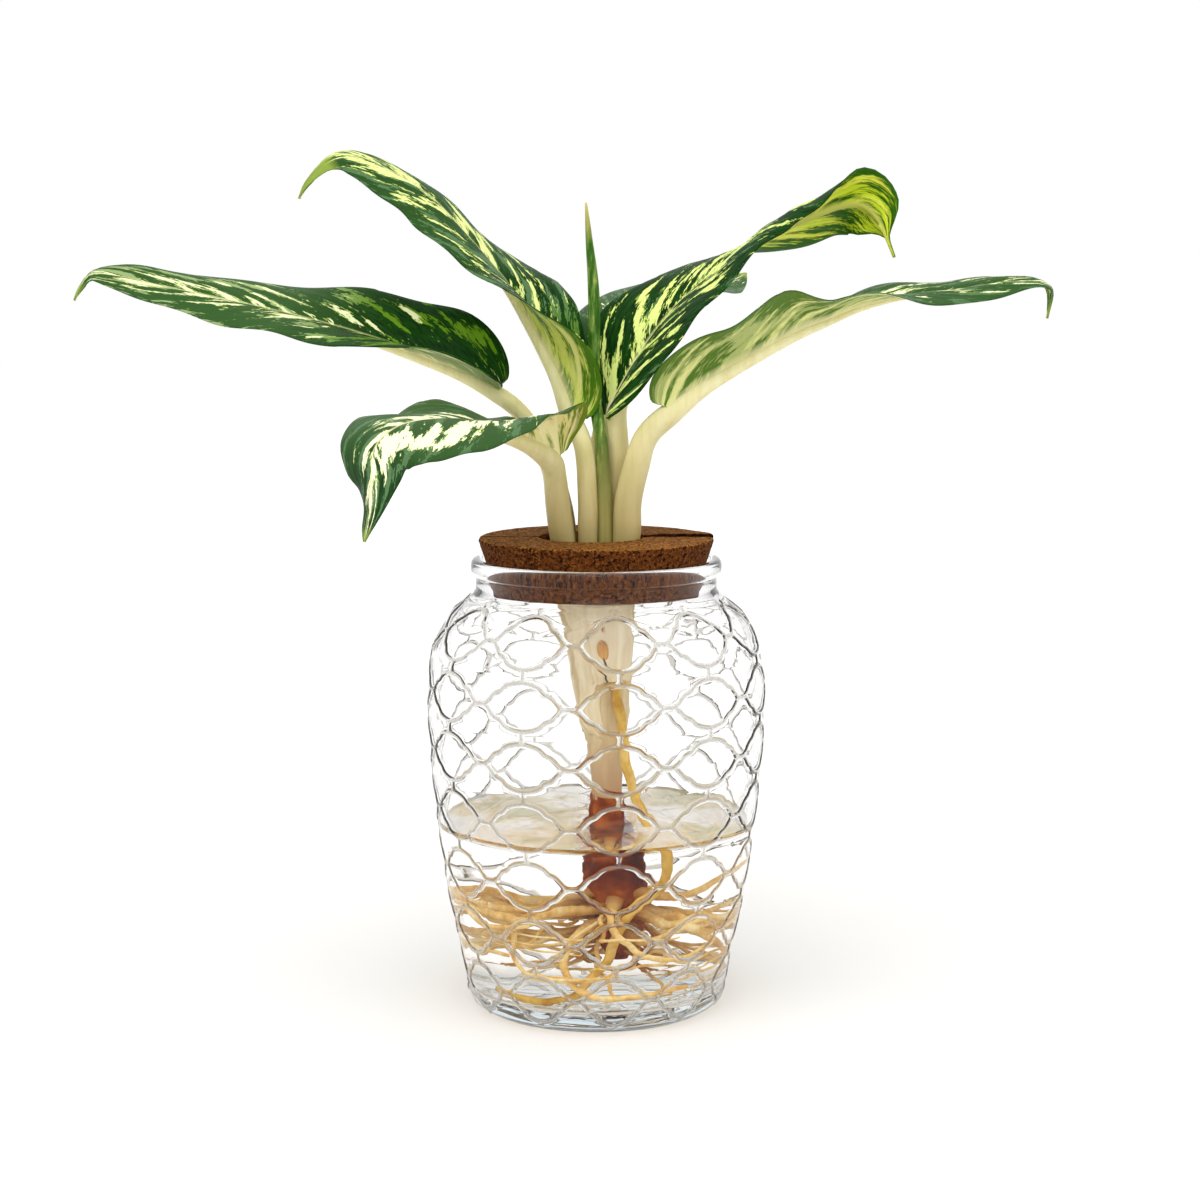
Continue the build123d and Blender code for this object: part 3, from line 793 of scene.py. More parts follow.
def makeBlade(place, leaf, topMaterial, underMaterial):
    steps, across, plainBow = bladeShape["rows"], bladeShape["across"], bladeShape["bow"]
    shares = [(i / steps) ** bladeShape["crowd"] for i in range(steps + 1)]
    random.seed(leaf["seed"])
    waves = [(random.uniform(2.0, 3.4), random.uniform(0, phaseSpan)) for _ in range(4)]
    upper, lower, uvs = [], [], []
    for share, (point, along, right, up, leftLift, rightLift) in zip(shares, bladeFrames(leaf, shares)):
        fullWidth = max(leaf["halfWidth"] * bladeWidth(leaf, share), 0.6)
        trimmed = between(leaf.get("rightBase", 1.0), 1.0, min(1.0, share / bladeShape["trimShare"]) ** 2)
        ribWide = ribRadius(leaf, share)
        arch = stepped(leaf["arch"], share) if "arch" in leaf else plainBow
        lobe = leaf["lobe"] * max(0.0, 1 - share / bladeShape["lobeShare"]) ** 2
        lobe *= min(1.0, fullWidth / bladeShape["lobeWide"])
        for j in range(-across, across + 1):
            sign = -1 if j < 0 else 1
            out = abs(j) / across
            width = fullWidth * (trimmed if j > 0 else 1.0)
            angle = math.radians(leftLift if j < 0 else rightLift)
            way = right * (sign * math.cos(angle)) + up * math.sin(angle)
            normal = up * math.cos(angle) - right * (sign * math.sin(angle))
            soft = min(out / bladeShape["ribSoft"], 1.0)
            normal = (up * (1 - soft) + normal * soft).normalized()
            bow = 4 * (arch if j > 0 else plainBow) * out * (1 - out) * width
            calm = min(1.0, width / bladeShape["calmWide"])
            pair = waves[:2] if j < 0 else waves[2:]
            wave = sum(math.sin(pace * waveTurn * share * (k + 1) + start) for k, (pace, start) in enumerate(pair))
            ruffle = leaf.get("ruffle", bladeShape["ruffle"]) * wave * out ** 2 * calm
            vein = math.sin(waveTurn * bladeShape["veins"] * (share - bladeShape["sweep"] * out))
            quilt = bladeShape["quilt"] * vein * math.sin(math.pi * out) * calm
            groove = -bladeShape["groove"] * bell(out * width, 0, bladeShape["grooveWide"]) * calm
            spot = point + way * (width * out) + normal * (bow + ruffle + quilt + groove) - along * (lobe * out)
            thick = between(bladeShape["thickMid"], bladeShape["thickEdge"], out ** 0.5)
            thick += bladeShape["ribDepth"] * ribWide * bell(out * width, 0, bladeShape["ribFillet"] * ribWide)
            upper.append(spot * mm)
            lower.append((spot - normal * thick) * mm)
            uvs.append((share, 0.5 + 0.5 * sign * out))
    faces, slots = sheetFaces(steps, 2 * across)
    piece = newPiece("blade_" + place, upper + lower, faces, [topMaterial, underMaterial], slots)
    layer = piece.data.uv_layers.new(name="leafPlace")
    for loop in piece.data.loops:
        layer.data[loop.index].uv = uvs[loop.vertex_index % len(uvs)]
    finishPlantPiece(piece, "leaf_" + place)


def stalkRings(rows, sides, shape):
    # rows of x, y, z, radius; shape turns an angle and a share into a factor on the radius
    steps = len(rows) - 1
    points = [Vector(row[:3]) for row in rows]
    across = Vector((1, 0, 0))
    rings = []
    for i, point in enumerate(points):
        along = (points[min(i + 1, steps)] - points[max(i - 1, 0)]).normalized()
        across = (across - along * across.dot(along)).normalized()
        deep = along.cross(across)
        ring = []
        for k in range(sides):
            angle = fullTurn * k / sides
            radius = rows[i][3] * shape(angle, i / steps)
            ring.append((point + (across * math.cos(angle) + deep * math.sin(angle)) * radius) * mm)
        rings.append(ring)
    return rings


def tube(rows, steps, sides, shape):
    return ringTube(stalkRings(evenRows(rows, steps), sides, shape))


def makeStalk(place, leaf, material):
    first = leaf["stalk"][0]
    squeeze = plant["bundleSqueeze"]
    rows = [(first[0] * squeeze, first[1] * squeeze, plant["bundleFoot"], first[3] * plant["footSlender"])]
    rows += leaf["stalk"]
    count = plant["ribRows"]
    shares = [leaf.get("ribReach", plant["ribReach"]) * i / count for i in range(count + 1)]
    for share, (point, _, _, up, _, _) in zip(shares, bladeFrames(leaf, shares)):
        radius = ribRadius(leaf, share)
        rows.append((*(point - up * (radius * (1 - plant["ribSink"]) + plant["ribDrop"])), radius))
    random.seed(leaf["seed"] + 100)
    phase = random.uniform(0, phaseSpan)

    def shape(angle, share):
        fibre = sum(size * math.sin(count * angle + shift * phase) for size, count, shift in plant["fibres"])
        wing = leaf.get("wing", 0.0) * bell(angle, plant["wingTurn"], plant["wingWide"])
        wing *= min(1.0, max(0.0, (plant["wingEnd"] - share) / plant["wingFade"]))
        return 1 + (fibre + wing) * min(1.0, 4 * share)

    skin = tube(rows, plant["stalkSteps"], plant["stalkSides"], shape)
    finishPlantPiece(newPiece("leaf_stalk_" + place, *skin, [material]), "stalk_" + place)


# leaf colours: dark green with grey-green patches, a painted grey-green sheen, and ragged cream streaks along the side
# veins

leafTone = {
    "dark": srgb(4, 32, 5), "deep": srgb(24, 72, 12), "grey": (84, 118, 76), "lime": srgb(96, 138, 26),
    "paintedSheen": srgb(58, 93, 44), "halo": srgb(168, 190, 82), "cream": (246, 245, 204), "tip": srgb(150, 172, 70),
    "rib": srgb(214, 216, 150), "underRib": (232, 226, 170),
    "greyCut": 0.57, "deepCut": 0.56, "margin": 0.95, "tailStart": 0.95, "sheen": 0.04, "ragged": 0.55,
}


def leafCoordinates(shader):
    # how far along the blade, how far out from the midrib, and which half
    place = addNode(shader, "UVMap")
    place.uv_map = "leafPlace"
    side = minus(axis(place.outputs[0], 1), 0.5)
    return axis(place.outputs[0], 0), times(calc("ABSOLUTE", side), 2.0), calc("SIGN", side)


def veinNoise(spot, seed, acrossVein, alongVein, detail):
    # noise drawn out along the side veins, which sweep from the midrib to the tip
    along, out, half = spot
    swept = minus(along, times(out, bladeShape["sweep"]))
    drawn = addNode(along, "CombineXYZ", X=times(swept, acrossVein), Y=times(out, alongVein),
                    Z=plus(times(half, 4.0), float(seed)))
    return noiseAt(drawn.outputs[0], 1.0, detail, leafTone["ragged"])


def weighted(*parts):
    # a sum of values, each centred on a half and given a weight
    shares = [times(minus(value, 0.5), weight) for value, weight in parts]
    total = shares[0]
    for share in shares[1:]:
        total = plus(total, share)
    return plus(total, 0.5)


def creamPattern(spot, leaf, fleck, fine):
    # broad streaks with ragged edges, more near the midrib and none at the margin
    along, out, half = spot
    if "drift" in leaf:
        # on this leaf the pale heart of the left half lies out from the midrib
        drift = times(ramp(along, leaf["drift"]), times(minus(1.0, half), 0.5))
        out = calc("ABSOLUTE", minus(out, drift))
        out = times(out, plus(1.0, times(drift, 1.7)))
    streak = veinNoise(spot, leaf["seed"], 19.0, 2.1, 1.0)
    margin = leaf.get("margin", leafTone["margin"])
    middle = ramp(out, [(0.0, 0.7), (0.3, 0.58), (margin - 0.29, 0.4), (margin, 0)])
    value = weighted((streak, 1.0), (fleck, 0.5), (fine, 0.34), (middle, 0.26))
    if "rightCream" in leaf:
        value = plus(value, times(plus(half, 1.0), 0.5 * leaf["rightCream"]))
    reach = ramp(along, [(0.25, 0), (0.5, 1), (0.86, 0.9), (0.96, 0)])
    core = ramp(out, [(0.0, 1), (0.3, 0.7), (0.62, 0)])
    return plus(value, times(times(reach, core), leaf["splash"]))


def leafMaterial(place, leaf):
    material, shader = newMaterial("variegatedLeaf_" + place)
    spot = leafCoordinates(shader)
    along, out, _ = spot
    seed, lime, cream = leaf["seed"], leaf["limeReach"], leaf["cream"]
    fleck = veinNoise(spot, seed + 1, 60.0, 8.0, 2.0)
    fine = veinNoise(spot, seed + 2, 190.0, 24.0, 2.0)
    patch = weighted((veinNoise(spot, seed + 9, 14.0, 2.2, 1.0), 1.0), (fleck, -0.5), (fine, 0.3))
    tone = mixColour(sharp(fleck, 0.5, 0.2), leafTone["dark"], leafTone["deep"])
    # painted sheen: grey-green where light glances off the blade
    if "paintedSheen" in leaf:
        tone = mixColour(ramp(along, leaf["paintedSheen"]), tone, leafTone["paintedSheen"])
    early = ramp(along, [(max(lime - 0.1, 0.0), 1), (lime + 0.05, 0)])
    paler = mixColour(early, srgb(*leaf.get("greyTone", leafTone["grey"])), leafTone["lime"])
    tone = mixColour(sharp(patch, leaf.get("greyCut", leafTone["greyCut"]), 0.012), tone, paler)
    cut = minus(creamPattern(spot, leaf, fleck, fine), times(early, leaf.get("limeCut", 0.0)))
    tone = mixColour(sharp(cut, cream - 0.018, 0.012), tone, leafTone["halo"])
    tone = mixColour(sharp(cut, cream + 0.012, 0.014), tone, srgb(*leaf.get("creamTone", leafTone["cream"])))
    tone = mixColour(ramp(out, [(0.0, 0.9), (0.035, 0)]), tone, leafTone["rib"])
    tailStart = leaf.get("tailStart", leafTone["tailStart"])
    tone = mixColour(ramp(along, [(tailStart, 0), (tailStart + 0.035, 0.8)]), tone, leafTone["tip"])
    relief = weighted((veinNoise(spot, 5, 90.0, 1.2, 1.0), 1.0), (fine, 0.4))
    coat(shader, tone, fleck, (0.34, 0.46), leaf.get("sheen", leafTone["sheen"]), relief, 0.3, 0.0007)
    return material


def undersideMaterial(place, leaf):
    # paler below, with cream side veins and green between them, greener at the margin
    material, shader = newMaterial("leafUnderside_" + place)
    spot = leafCoordinates(shader)
    out, seed = spot[1], leaf["seed"]
    fleck = veinNoise(spot, seed + 1, 60.0, 6.0, 2.0)
    fine = veinNoise(spot, seed + 2, 190.0, 14.0, 2.0)
    vein = veinNoise(spot, seed + 4, 18.0, 1.1, 1.0)
    patch = veinNoise(spot, seed + 6, 12.0, 2.4, 1.0)
    edge = ramp(out, [(0.0, 0.5), (0.6, 0.5), (0.85, 0.62), (1.0, 0.9)])
    deep = weighted((patch, 1.0), (fleck, 0.7), (fine, 0.5), (edge, 0.8))
    deepShare = sharp(deep, leaf.get("deepCut", leafTone["deepCut"]), 0.06)
    tone = mixColour(deepShare, srgb(*leaf["under"]), srgb(*leaf["underDeep"]))
    pale = weighted((vein, 1.0), (fine, 0.3), (fleck, 0.25), (edge, -0.5))
    tone = mixColour(sharp(pale, 0.56, 0.05), tone, srgb(*leaf["underPale"]))
    rib = srgb(*leaf.get("underRib", leafTone["underRib"]))
    tone = mixColour(ramp(out, [(0.05, 1), (0.15, 0)]), tone, rib)
    coat(shader, tone, fleck, (0.42, 0.56), 0.12, weighted((vein, 1.0), (fine, 0.3)), 0.4, 0.0008)
    return material


stalkTone = {
    "fibre": [(0.3, srgb(232, 221, 160)), (0.55, srgb(246, 238, 182)), (0.75, srgb(252, 247, 206))],
    "green": srgb(214, 210, 136), "byLid": srgb(172, 146, 78), "lidFade": (0.246, 0.192, 0.7),
}


def stalkMaterial():
    # cream, a little green in blotches and browner down by the lid
    material, shader = newMaterial("creamStalk")
    place = objectPlace(shader)
    fibre = fibreNoise(place, 260.0, 18.0, 5.0, 0.6)
    tone = ramp(fibre, stalkTone["fibre"])
    tone = mixColour(ramp(noiseAt(place, 70.0, 3.0), [(0.45, 0), (0.75, 0.4)]), tone, stalkTone["green"])
    tone = mixColour(fade(axis(place, 2), *stalkTone["lidFade"]), tone, stalkTone["byLid"])
    setInputs(shader, Subsurface_Weight=0.15, Subsurface_Radius=(0.004, 0.003, 0.0015), Subsurface_Scale=1.0)
    coat(shader, tone, fibre, (0.34, 0.5), 0.3, fibre, 0.3, 0.0004)
    return material


stalkLook = stalkMaterial()
for place, leaf in leaves.items():
    makeBlade(place, leaf, leafMaterial(place, leaf), undersideMaterial(place, leaf))
    makeStalk(place, leaf, stalkLook)
print("leaves made")


# below the lid: stem with old leaf scars, rough crown, and the roots

stem = {
    "rings": [(-0.6, 0, 173, 15.4), (-0.3, 0, 166, 15.0), (0.6, 0, 152, 14.0), (1.6, 0, 141, 12.6), (2.0, 0, 130, 11.2),
              (3.2, 0, 117, 9.6), (3.6, 0, 108, 8.0), (3.7, 0, 101, 6.9), (4.2, 0, 91, 6.2), (4.2, 0, 82, 5.8)],
    "steps": 80, "sides": 64, "seams": [(0.09, 5.3, 0.12), (0.07, 2.2, 0.15)],  # a seam is depth, angle and width
    "lobes": [(0.035, 3, 0.6, 0), (0.02, 7, 0, 5)],  # size, count, start and twist
    "scars": 34, "scarHeight": 0.03, "scarFrom": 0.45, "crownTone": srgb(186, 148, 108), "crownFade": (0.112, 0.088),
    "flakes": [
        {"tone": "pale", "turn": 24, "wide": 40, "low": 132, "high": 166, "gap": 0.5, "curl": 2.2, "ragged": 3.0},
        {"tone": "pale", "turn": -62, "wide": 56, "low": 112, "high": 170, "gap": 0.4, "curl": 0.4, "ragged": 2.0},
        {"tone": "dry", "turn": 6, "wide": 9, "low": 141, "high": 152, "gap": 0.9, "curl": 0.8, "ragged": 1.0}],
    "flakeRows": 26, "flakeColumns": 22, "flakeThick": 0.5, "curlFrom": 0.55,
    "crack": [(2.6, -13.9, 141.5), (3.6, -13.3, 138), (3.1, -12.9, 135), (4.2, -12.5, 132), (3.8, -12.3, 129.5)],
    "crackRadius": 0.4,
}
crown = {
    "rings": [(4.2, 0, 87, 6.0), (4.3, 0, 82, 6.6), (4.6, 0, 74, 7.3), (5.2, 0, 64, 8.6), (6.0, 0, 54, 9.2),
              (6.4, 0, 42, 8.4), (6.6, 0, 32, 5.6), (6.8, 0, 25, 2.6)],
    "steps": 90, "sides": 64, "rough": [(0.16, 1), (0.09, 2.7), (0.05, 6)], "band": 0.025, "bands": 40,
}
spear = {
    "rings": [(2.8, -1.7, 172, 2.2), (3.6, -2.2, 191, 3.1), (2.2, -1.0, 225, 2.6), (0.4, 0.3, 239, 2.4),
              (-0.8, 0.5, 250, 2.3), (-0.9, -0.4, 285, 2.2), (-2.8, -2.0, 308, 1.3), (-4.0, -2.0, 322, 0.4)],
    "steps": 90, "sides": 28, "roll": 0.16, "rollTurn": 4.4, "rollWide": 0.25, "flat": 0.05,
    "greens": [(0.32, srgb(24, 66, 12)), (0.48, srgb(62, 108, 30)), (0.58, srgb(112, 144, 64)),
               (0.68, srgb(186, 200, 104))],
    "footTone": srgb(176, 166, 98), "footFade": (0.196, 0.236),
    "tipTone": srgb(196, 184, 104), "tipFade": (0.306, 0.32),
}
aerialRoot = {"radius": 2.0, "route": [
    (7.5, -9.5, 132), (10, -12.5, 116), (12, -13.5, 100), (15.5, -15, 87), (20.5, -16.5, 76), (23.5, -18, 65),
    (19.5, -20.5, 55), (11.5, -23, 47.5), (7.5, -26.5, 39), (4.5, -30, 30), (-1, -33.5, 22), (-7.5, -36.5, 15),
    (-16, -38, 11.8), (-27, -33.5, 12.2), (-36, -25, 13.5)]}
roots = {
    "count": 12, "radii": [1.5, 1.2, 1.7], "levels": [16.0, 30.0, 42.0, 23.0], "wallGap": 3.4, "wobble": 1.4,
    "knot": 0.16, "crownX": 6.6, "swell": 1.0, "swellRun": 0.16, "endShare": 0.45, "gap": 1.5,
    "leave": 34, "leaveSpan": 20, "reach": 62, "reachStep": 8, "lowest": 10.2,
    "branches": 3, "branchSeed": 71, "branchPlaces": (0.13, 0.32, 0.52, 0.72, 0.9, 0.97, 0.98), "branchGap": 0.8,
    "wallFrom": 0.9, "wallRun": 0.07, "wallTurn": 28, "bandRadius": 2.0, "bandStart": 46, "bandSwing": 0.4,
    "bands": [(172, 48), (188, 50), (204, 47), (220, 45), (-10, 40), (-26, 38), (-42, 41)],
    "high": [(11, -4, 52), (25, -11.5, 51), (36, -14.5, 54), (45, -11, 58.5), (50, 1, 60), (48, 14, 58)],
}


def axisDistance(place, axisX):
    # distance in metres from an upright line at axisX mm
    shift, length = [addNode(place, "VectorMath") for _ in range(2)]
    shift.operation, length.operation = "MULTIPLY_ADD", "LENGTH"
    for socket, value in zip(shift.inputs, (place, (1, 1, 0), (-axisX * mm, 0, 0))):
        feed(socket, value)
    feed(length.inputs[0], shift.outputs[0])
    return length.outputs["Value"]


def rootMaterial(name, pale, middle, dark, seed, old=None):
    material, shader = newMaterial(name)
    place = objectPlace(shader)
    fibre = noiseAt(place, 420.0 + seed, 5.0, 0.65)
    tone = ramp(noiseAt(place, 55.0 + seed, 3.0), [(0.32, srgb(*dark)), (0.5, srgb(*middle)), (0.66, srgb(*pale))])
    tone = shaded(tone, ramp(fibre, [(0.3, (0.7, 0.66, 0.6)), (0.65, 1)]))
    if old:
        # old and brown near the crown's line
        near = times(axisDistance(place, roots["crownX"]), 20.0)
        tone = mixColour(ramp(near, [(0.2, 0.9), (0.46, 0)]), tone, srgb(*old))
    coat(shader, tone, fibre, (0.45, 0.7), 0.12, fibre, 0.4, 0.0005)
    return material


def stemMaterial(name, deep, middle, pale, patch):
    material, shader = newMaterial(name)
    place = objectPlace(shader)
    fibre = fibreNoise(place, 330.0, 30.0, 6.0, 0.6)
    tone = ramp(fibre, [(0.3, srgb(*deep)), (0.55, srgb(*middle)), (0.75, srgb(*pale))])
    tone = mixColour(ramp(noiseAt(place, 95.0, 4.0), [(0.5, 0), (0.75, 1)]), tone, srgb(*patch))
    tone = mixColour(fade(axis(place, 2), *stem["crownFade"]), tone, stem["crownTone"])
    coat(shader, tone, fibre, (0.42, 0.6), 0.5, fibre, 0.35, 0.0005)
    return material


def spearMaterial():
    # pale down by the lid and at the tip, green between
    material, shader = newMaterial("rolledLeaf")
    place = objectPlace(shader)
    fibre = fibreNoise(place, 360.0, 70.0, 6.0, 0.65)
    tone = mixColour(fade(axis(place, 2), *spear["footFade"]), spear["footTone"], ramp(fibre, spear["greens"]))
    tone = mixColour(fade(axis(place, 2), *spear["tipFade"]), tone, spear["tipTone"])
    coat(shader, tone, fibre, (0.3, 0.45), 0.12, fibre, 0.3, 0.0004)
    return material


def stemFlake(flake, seed):
    # a thin, papery sheet that lies round part of the stem, ragged at its lower edge
    levels = sorted((row[2], row[0], row[3]) for row in stem["rings"])
    tall, wide = stem["flakeRows"], stem["flakeColumns"]
    outer, inner = [], []
    for i in range(tall + 1):
        up = i / tall
        narrow = 1.0
        if flake["tone"] == "dry":
            narrow = max(0.06, math.sin(math.pi * min(1.0, 0.1 + 0.9 * up)) ** 0.7)
        for j in range(wide + 1):
            across = j / wide * 2 - 1
            rag = flake["ragged"] * noise.noise(Vector((across * 4, seed * 2.0, 0))) * (1 - up)
            height = between(flake["low"], flake["high"], up) + rag
            k = max(n for n in range(len(levels) - 1) if levels[n][0] <= height or n == 0)
            share = (height - levels[k][0]) / (levels[k + 1][0] - levels[k][0])
            centre = between(levels[k][1], levels[k + 1][1], share)
            radius = between(levels[k][2], levels[k + 1][2], share) + flake["gap"]
            radius += flake["curl"] * max(0.0, abs(across) - stem["curlFrom"]) ** 2 * 3 * (1 if across > 0 else 0.4)
            radius += 0.25 * noise.noise(Vector((across * 3, up * 5, seed)))
            angle = math.radians(flake["turn"] + flake["wide"] * across * narrow)
            outer.append(onCircle(radius, angle, height, centre))
            inner.append(onCircle(radius - stem["flakeThick"], angle, height, centre))
    return outer + inner, sheetFaces(tall, wide)[0]


def rootTube(route, radius, seed, endShare, steps=70, sides=12, swell=0.0):
    # a tapering, slightly knotty root that wanders about its route
    rows = []
    for i, row in enumerate(evenRows([(*point, radius) for point in route], steps)):
        share = i / steps
        push = noise.noise_vector(Vector(row[:3]) / 9 + Vector((seed * 3.1, seed * 1.7, seed * 0.9))) * roots["wobble"]
        knot = 1 + roots["knot"] * noise.noise(Vector((share * 22, seed * 5.0, 0)))
        knot += swell * bell(share, 0, roots["swellRun"])
        thick = radius * knot * between(1.0, endShare, share ** 2)
        rows.append((row[0] + push.x, row[1] + push.y, row[2] + push.z * 0.7, thick))
    return ringTube(stalkRings(rows, sides, lambda angle, share: 1.0))


def makeStem(material, paleMaterial, dryMaterial, crackShadeMaterial):
    def shape(angle, share):
        seam = sum(depth * bell(angle, at, wide) for depth, at, wide in stem["seams"])
        lobes = sum(size * math.sin(count * angle + start + twist * share)
                    for size, count, start, twist in stem["lobes"])
        scar = stem["scarHeight"] * max(0, math.sin(share * stem["scars"])) ** 6 if share > stem["scarFrom"] else 0
        return 1 + lobes - seam + scar

    verts, faces = tube(stem["rings"], stem["steps"], stem["sides"], shape)
    slots = [0] * len(faces)
    parts = [(stemFlake(flake, number + 3), 2 if flake["tone"] == "dry" else 1)
             for number, flake in enumerate(stem["flakes"])]
    # a dark tube laid along the crack is painted shade inside it
    parts.append((rootTube(stem["crack"], stem["crackRadius"], 2.3, 0.5, 30, 8), 3))
    for part, slot in parts:
        addPart(verts, faces, part)
        slots += [slot] * len(part[1])
    piece = newPiece("sheathed_stem", verts, faces, [material, paleMaterial, dryMaterial, crackShadeMaterial], slots)
    finishPlantPiece(piece, "stem")


def makeCrown(material):
    def shape(angle, share):
        spot = Vector((math.cos(angle) * 1.6, math.sin(angle) * 1.6, share * 6))
        rough = sum(size * noise.noise(spot * scale) for size, scale in crown["rough"])
        return 1 + rough + crown["band"] * math.sin(share * crown["bands"]) * (1 - share)

    piece = newPiece("rough_crown", *tube(crown["rings"], crown["steps"], crown["sides"], shape), [material])
    finishPlantPiece(piece, "root_crown")


def makeSpear(material):
    def shape(angle, share):
        roll = spear["roll"] * bell(angle, spear["rollTurn"] + share, spear["rollWide"])
        return 1 - roll + spear["flat"] * math.cos(2 * angle)

    piece = newPiece("rolled_spear", *tube(spear["rings"], spear["steps"], spear["sides"], shape), [material])
    finishPlantPiece(piece, "spear_leaf")


def rootPoint(share, turn, wallHeight, gap, height):
    # a point on the way from the crown's line out to the glass, kept off the wall by a gap
    wall = outerRadius(wallHeight) - jar["wall"] - roots["wallGap"] - gap
    angle = math.radians(turn)
    return (roots["crownX"] * (1 - share) + share * wall * math.cos(angle), share * wall * math.sin(angle), height)


def branchRoute(seed, band=None):
    # a thin root that wanders from the crown to the wall and along it
    random.seed(seed)
    turn = random.uniform(0, 360)
    swing = random.choice((-1, 1)) * random.uniform(20, 70)
    start, end = random.uniform(24, 50), random.uniform(11, 44)
    if band:
        swing *= roots["bandSwing"]
        turn, start, end = band[0] - swing, roots["bandStart"], band[1]
    wallFrom, wallTurn = roots["wallFrom"], roots["wallTurn"] if swing > 0 else -roots["wallTurn"]
    route = []
    for share in roots["branchPlaces"]:
        height = between(start, end, min(1.0, share / wallFrom) ** 0.8)
        height += random.uniform(-2.5, 2.5) * (1 if share < wallFrom else 0.4)
        angle = turn + swing * share + wallTurn * max(0.0, share - wallFrom) / roots["wallRun"]
        route.append(rootPoint(share, angle, height, roots["branchGap"], max(height, roots["lowest"])))
    return route, roots["bandRadius"] if band else random.uniform(0.45, 0.95)


def rootRoute(index):
    if index == 0:
        return roots["high"]
    start = 360 / roots["count"] * index
    level = roots["levels"][index % 4]
    leave = roots["leave"] + roots["leaveSpan"] * ((index * 5) % roots["count"]) / roots["count"]
    reach = roots["reach"] + roots["reachStep"] * (index % 3)
    legs = [(0.1, 0, leave), (0.45, 4, leave - 3), (0.8, 10, (leave + level) / 2), (0.97, 22, level + 2),
            (1.0, 40, level - 1), (1.0, reach, level + 2 - index % 3)]
    return [rootPoint(share, start + swing, level, roots["gap"], height) for share, swing, height in legs]


def makeRoots(material):
    for index in range(roots["count"]):
        radius = roots["radii"][index % 3]
        verts, faces = rootTube(rootRoute(index), radius, index + 1, roots["endShare"], swell=roots["swell"])
        bands = [None] * roots["branches"] + roots["bands"][index::roots["count"]]
        for branch, band in enumerate(bands):
            seed = roots["branchSeed"] + index * 7 + branch
            addPart(verts, faces, rootTube(*branchRoute(seed, band), seed, 0.4, 44, 8))
        piece = newPiece("side_root_%d" % (index + 1), verts, faces, [material])
        finishPlantPiece(piece, "water_root_%d" % (index + 1))


innerSheath = stemMaterial("innerSheath", (198, 172, 126), (222, 200, 156), (236, 218, 180), (192, 160, 112))
outerSheath = stemMaterial("outerSheath", (226, 206, 166), (240, 224, 188), (248, 238, 210), (226, 200, 154))
dryScale = stemMaterial("dryScale", (172, 108, 22), (208, 148, 52), (232, 184, 92), (150, 92, 20))
# painted shade for the crack in the sheath
crackPaintedShade = stemMaterial("crackPaintedShade", (50, 26, 8), (74, 40, 14), (96, 56, 24), (40, 20, 6))
makeStem(innerSheath, outerSheath, dryScale, crackPaintedShade)
makeCrown(rootMaterial("oldBrownCrown", (190, 96, 10), (122, 42, 0), (66, 16, 0), 13))
makeSpear(spearMaterial())
longRoot = rootTube(aerialRoot["route"], aerialRoot["radius"], 0.4, 0.7, 130, 16)
yellowRoot = rootMaterial("yellowRoot", (244, 210, 128), (230, 190, 96), (200, 150, 60), 29)
finishPlantPiece(newPiece("stem_root", *longRoot, [yellowRoot]), "aerial_root")
makeRoots(rootMaterial("tanRoot", (255, 236, 180), (252, 216, 142), (226, 174, 92), 47, (168, 104, 36)))
print("stem and roots made")


# floor, light and camera

view = {"eye": (0.0015, -1.0, 0.3006), "pitch": 7.73, "focalPixels": 2520, "imagePixels": 1200, "sensor": 36.0}
light = {
    "world": 0.75, "key": 1.5, "fill": 0.7, "floorGlow": 0.1, "floorTone": (0.78, 0.775, 0.765), "floorSize": 6.0,
    "bounces": 40, "clearBounces": 24,
}


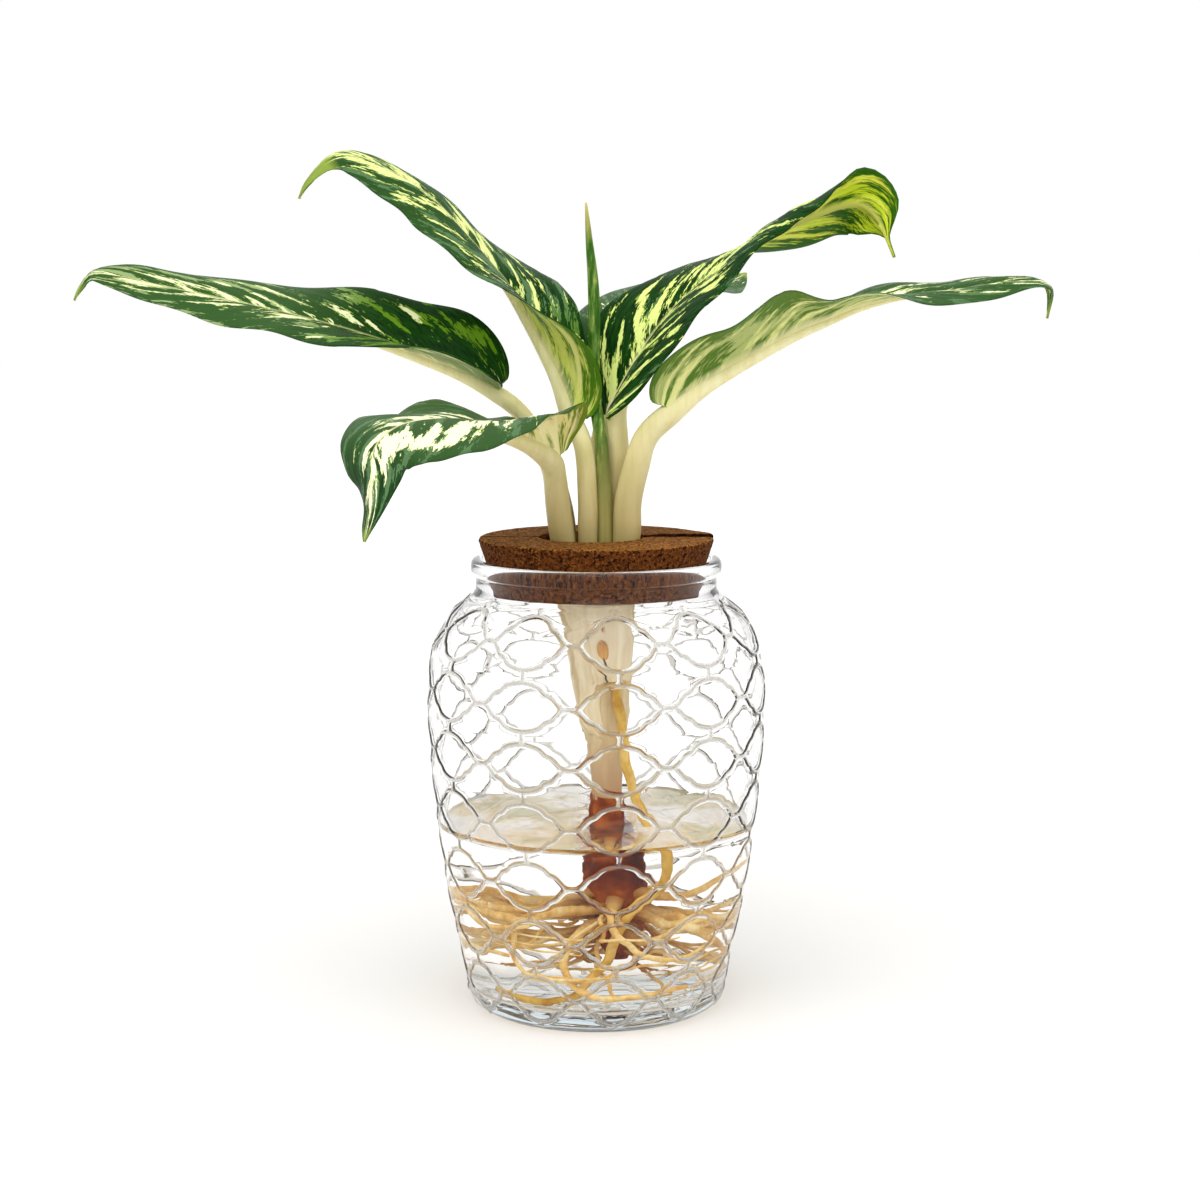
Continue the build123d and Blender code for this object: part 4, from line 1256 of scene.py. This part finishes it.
def seenDirect(near):
    # rays from the camera, off gloss and through glass, which meet the white background
    path = addNode(near, "LightPath").outputs
    seen = calc("MAXIMUM", path["Is Camera Ray"], path["Is Glossy Ray"])
    return calc("MAXIMUM", seen, path["Is Transmission Ray"])


def makeFloor():
    size = light["floorSize"]
    material, plain = newMaterial("paleFloor", "BsdfDiffuse")
    setInputs(plain, Color=light["floorTone"])
    both = addNode(plain, "AddShader")
    feed(both.inputs[0], plain.outputs[0])
    feed(both.inputs[1], addNode(plain, "Emission", Color=(1, 1, 1), Strength=light["floorGlow"]).outputs[0])
    layOver(plain, seenDirect(plain), both)
    corners = [(-size, -size, 0), (size, -size, 0), (size, size, 0), (-size, size, 0)]
    floor = newPiece("floor", corners, [(0, 1, 2, 3)], [material], closed=False)


def makeWorld():
    world = bpy.data.worlds.new("softRoom")
    bpy.context.scene.world = world
    world.use_nodes = True
    tree = world.node_tree
    tree.nodes.clear()
    strength = addNode(tree, "MapRange", Value=seenDirect(tree), To_Min=light["world"], To_Max=1.0)
    back = addNode(tree, "Background", Color=(1, 1, 1), Strength=strength.outputs[0])
    addNode(tree, "OutputWorld", Surface=back.outputs[0])


def addLamp(name, place, strength, spread):
    lamp = bpy.data.lights.new(name, "SUN")
    lamp.energy = strength
    lamp.angle = math.radians(spread)
    holder = addObject(name, lamp)
    holder.location = place
    holder.rotation_euler = (-Vector(place)).to_track_quat("-Z", "Y").to_euler()


def makeCamera():
    camera = bpy.data.cameras.new("photoView")
    camera.sensor_fit = "HORIZONTAL"
    camera.sensor_width = view["sensor"]
    camera.lens = view["sensor"] * view["focalPixels"] / view["imagePixels"]
    camera.clip_start = 0.01
    holder = addObject("photoView", camera)
    holder.location = view["eye"]
    holder.rotation_euler = (math.radians(90 - view["pitch"]), 0, 0)
    bpy.context.scene.camera = holder


makeFloor()
makeWorld()
addLamp("keyLamp", (-0.35, -0.75, 1.5), light["key"], 60)
addLamp("fillLamp", (0.6, -0.6, 1.2), light["fill"], 80)
makeCamera()
scene = bpy.context.scene
scene.view_settings.view_transform = "Standard"
scene.cycles.max_bounces = light["bounces"]
scene.cycles.transmission_bounces = light["bounces"]
scene.cycles.transparent_max_bounces = light["clearBounces"]
print("stage set")
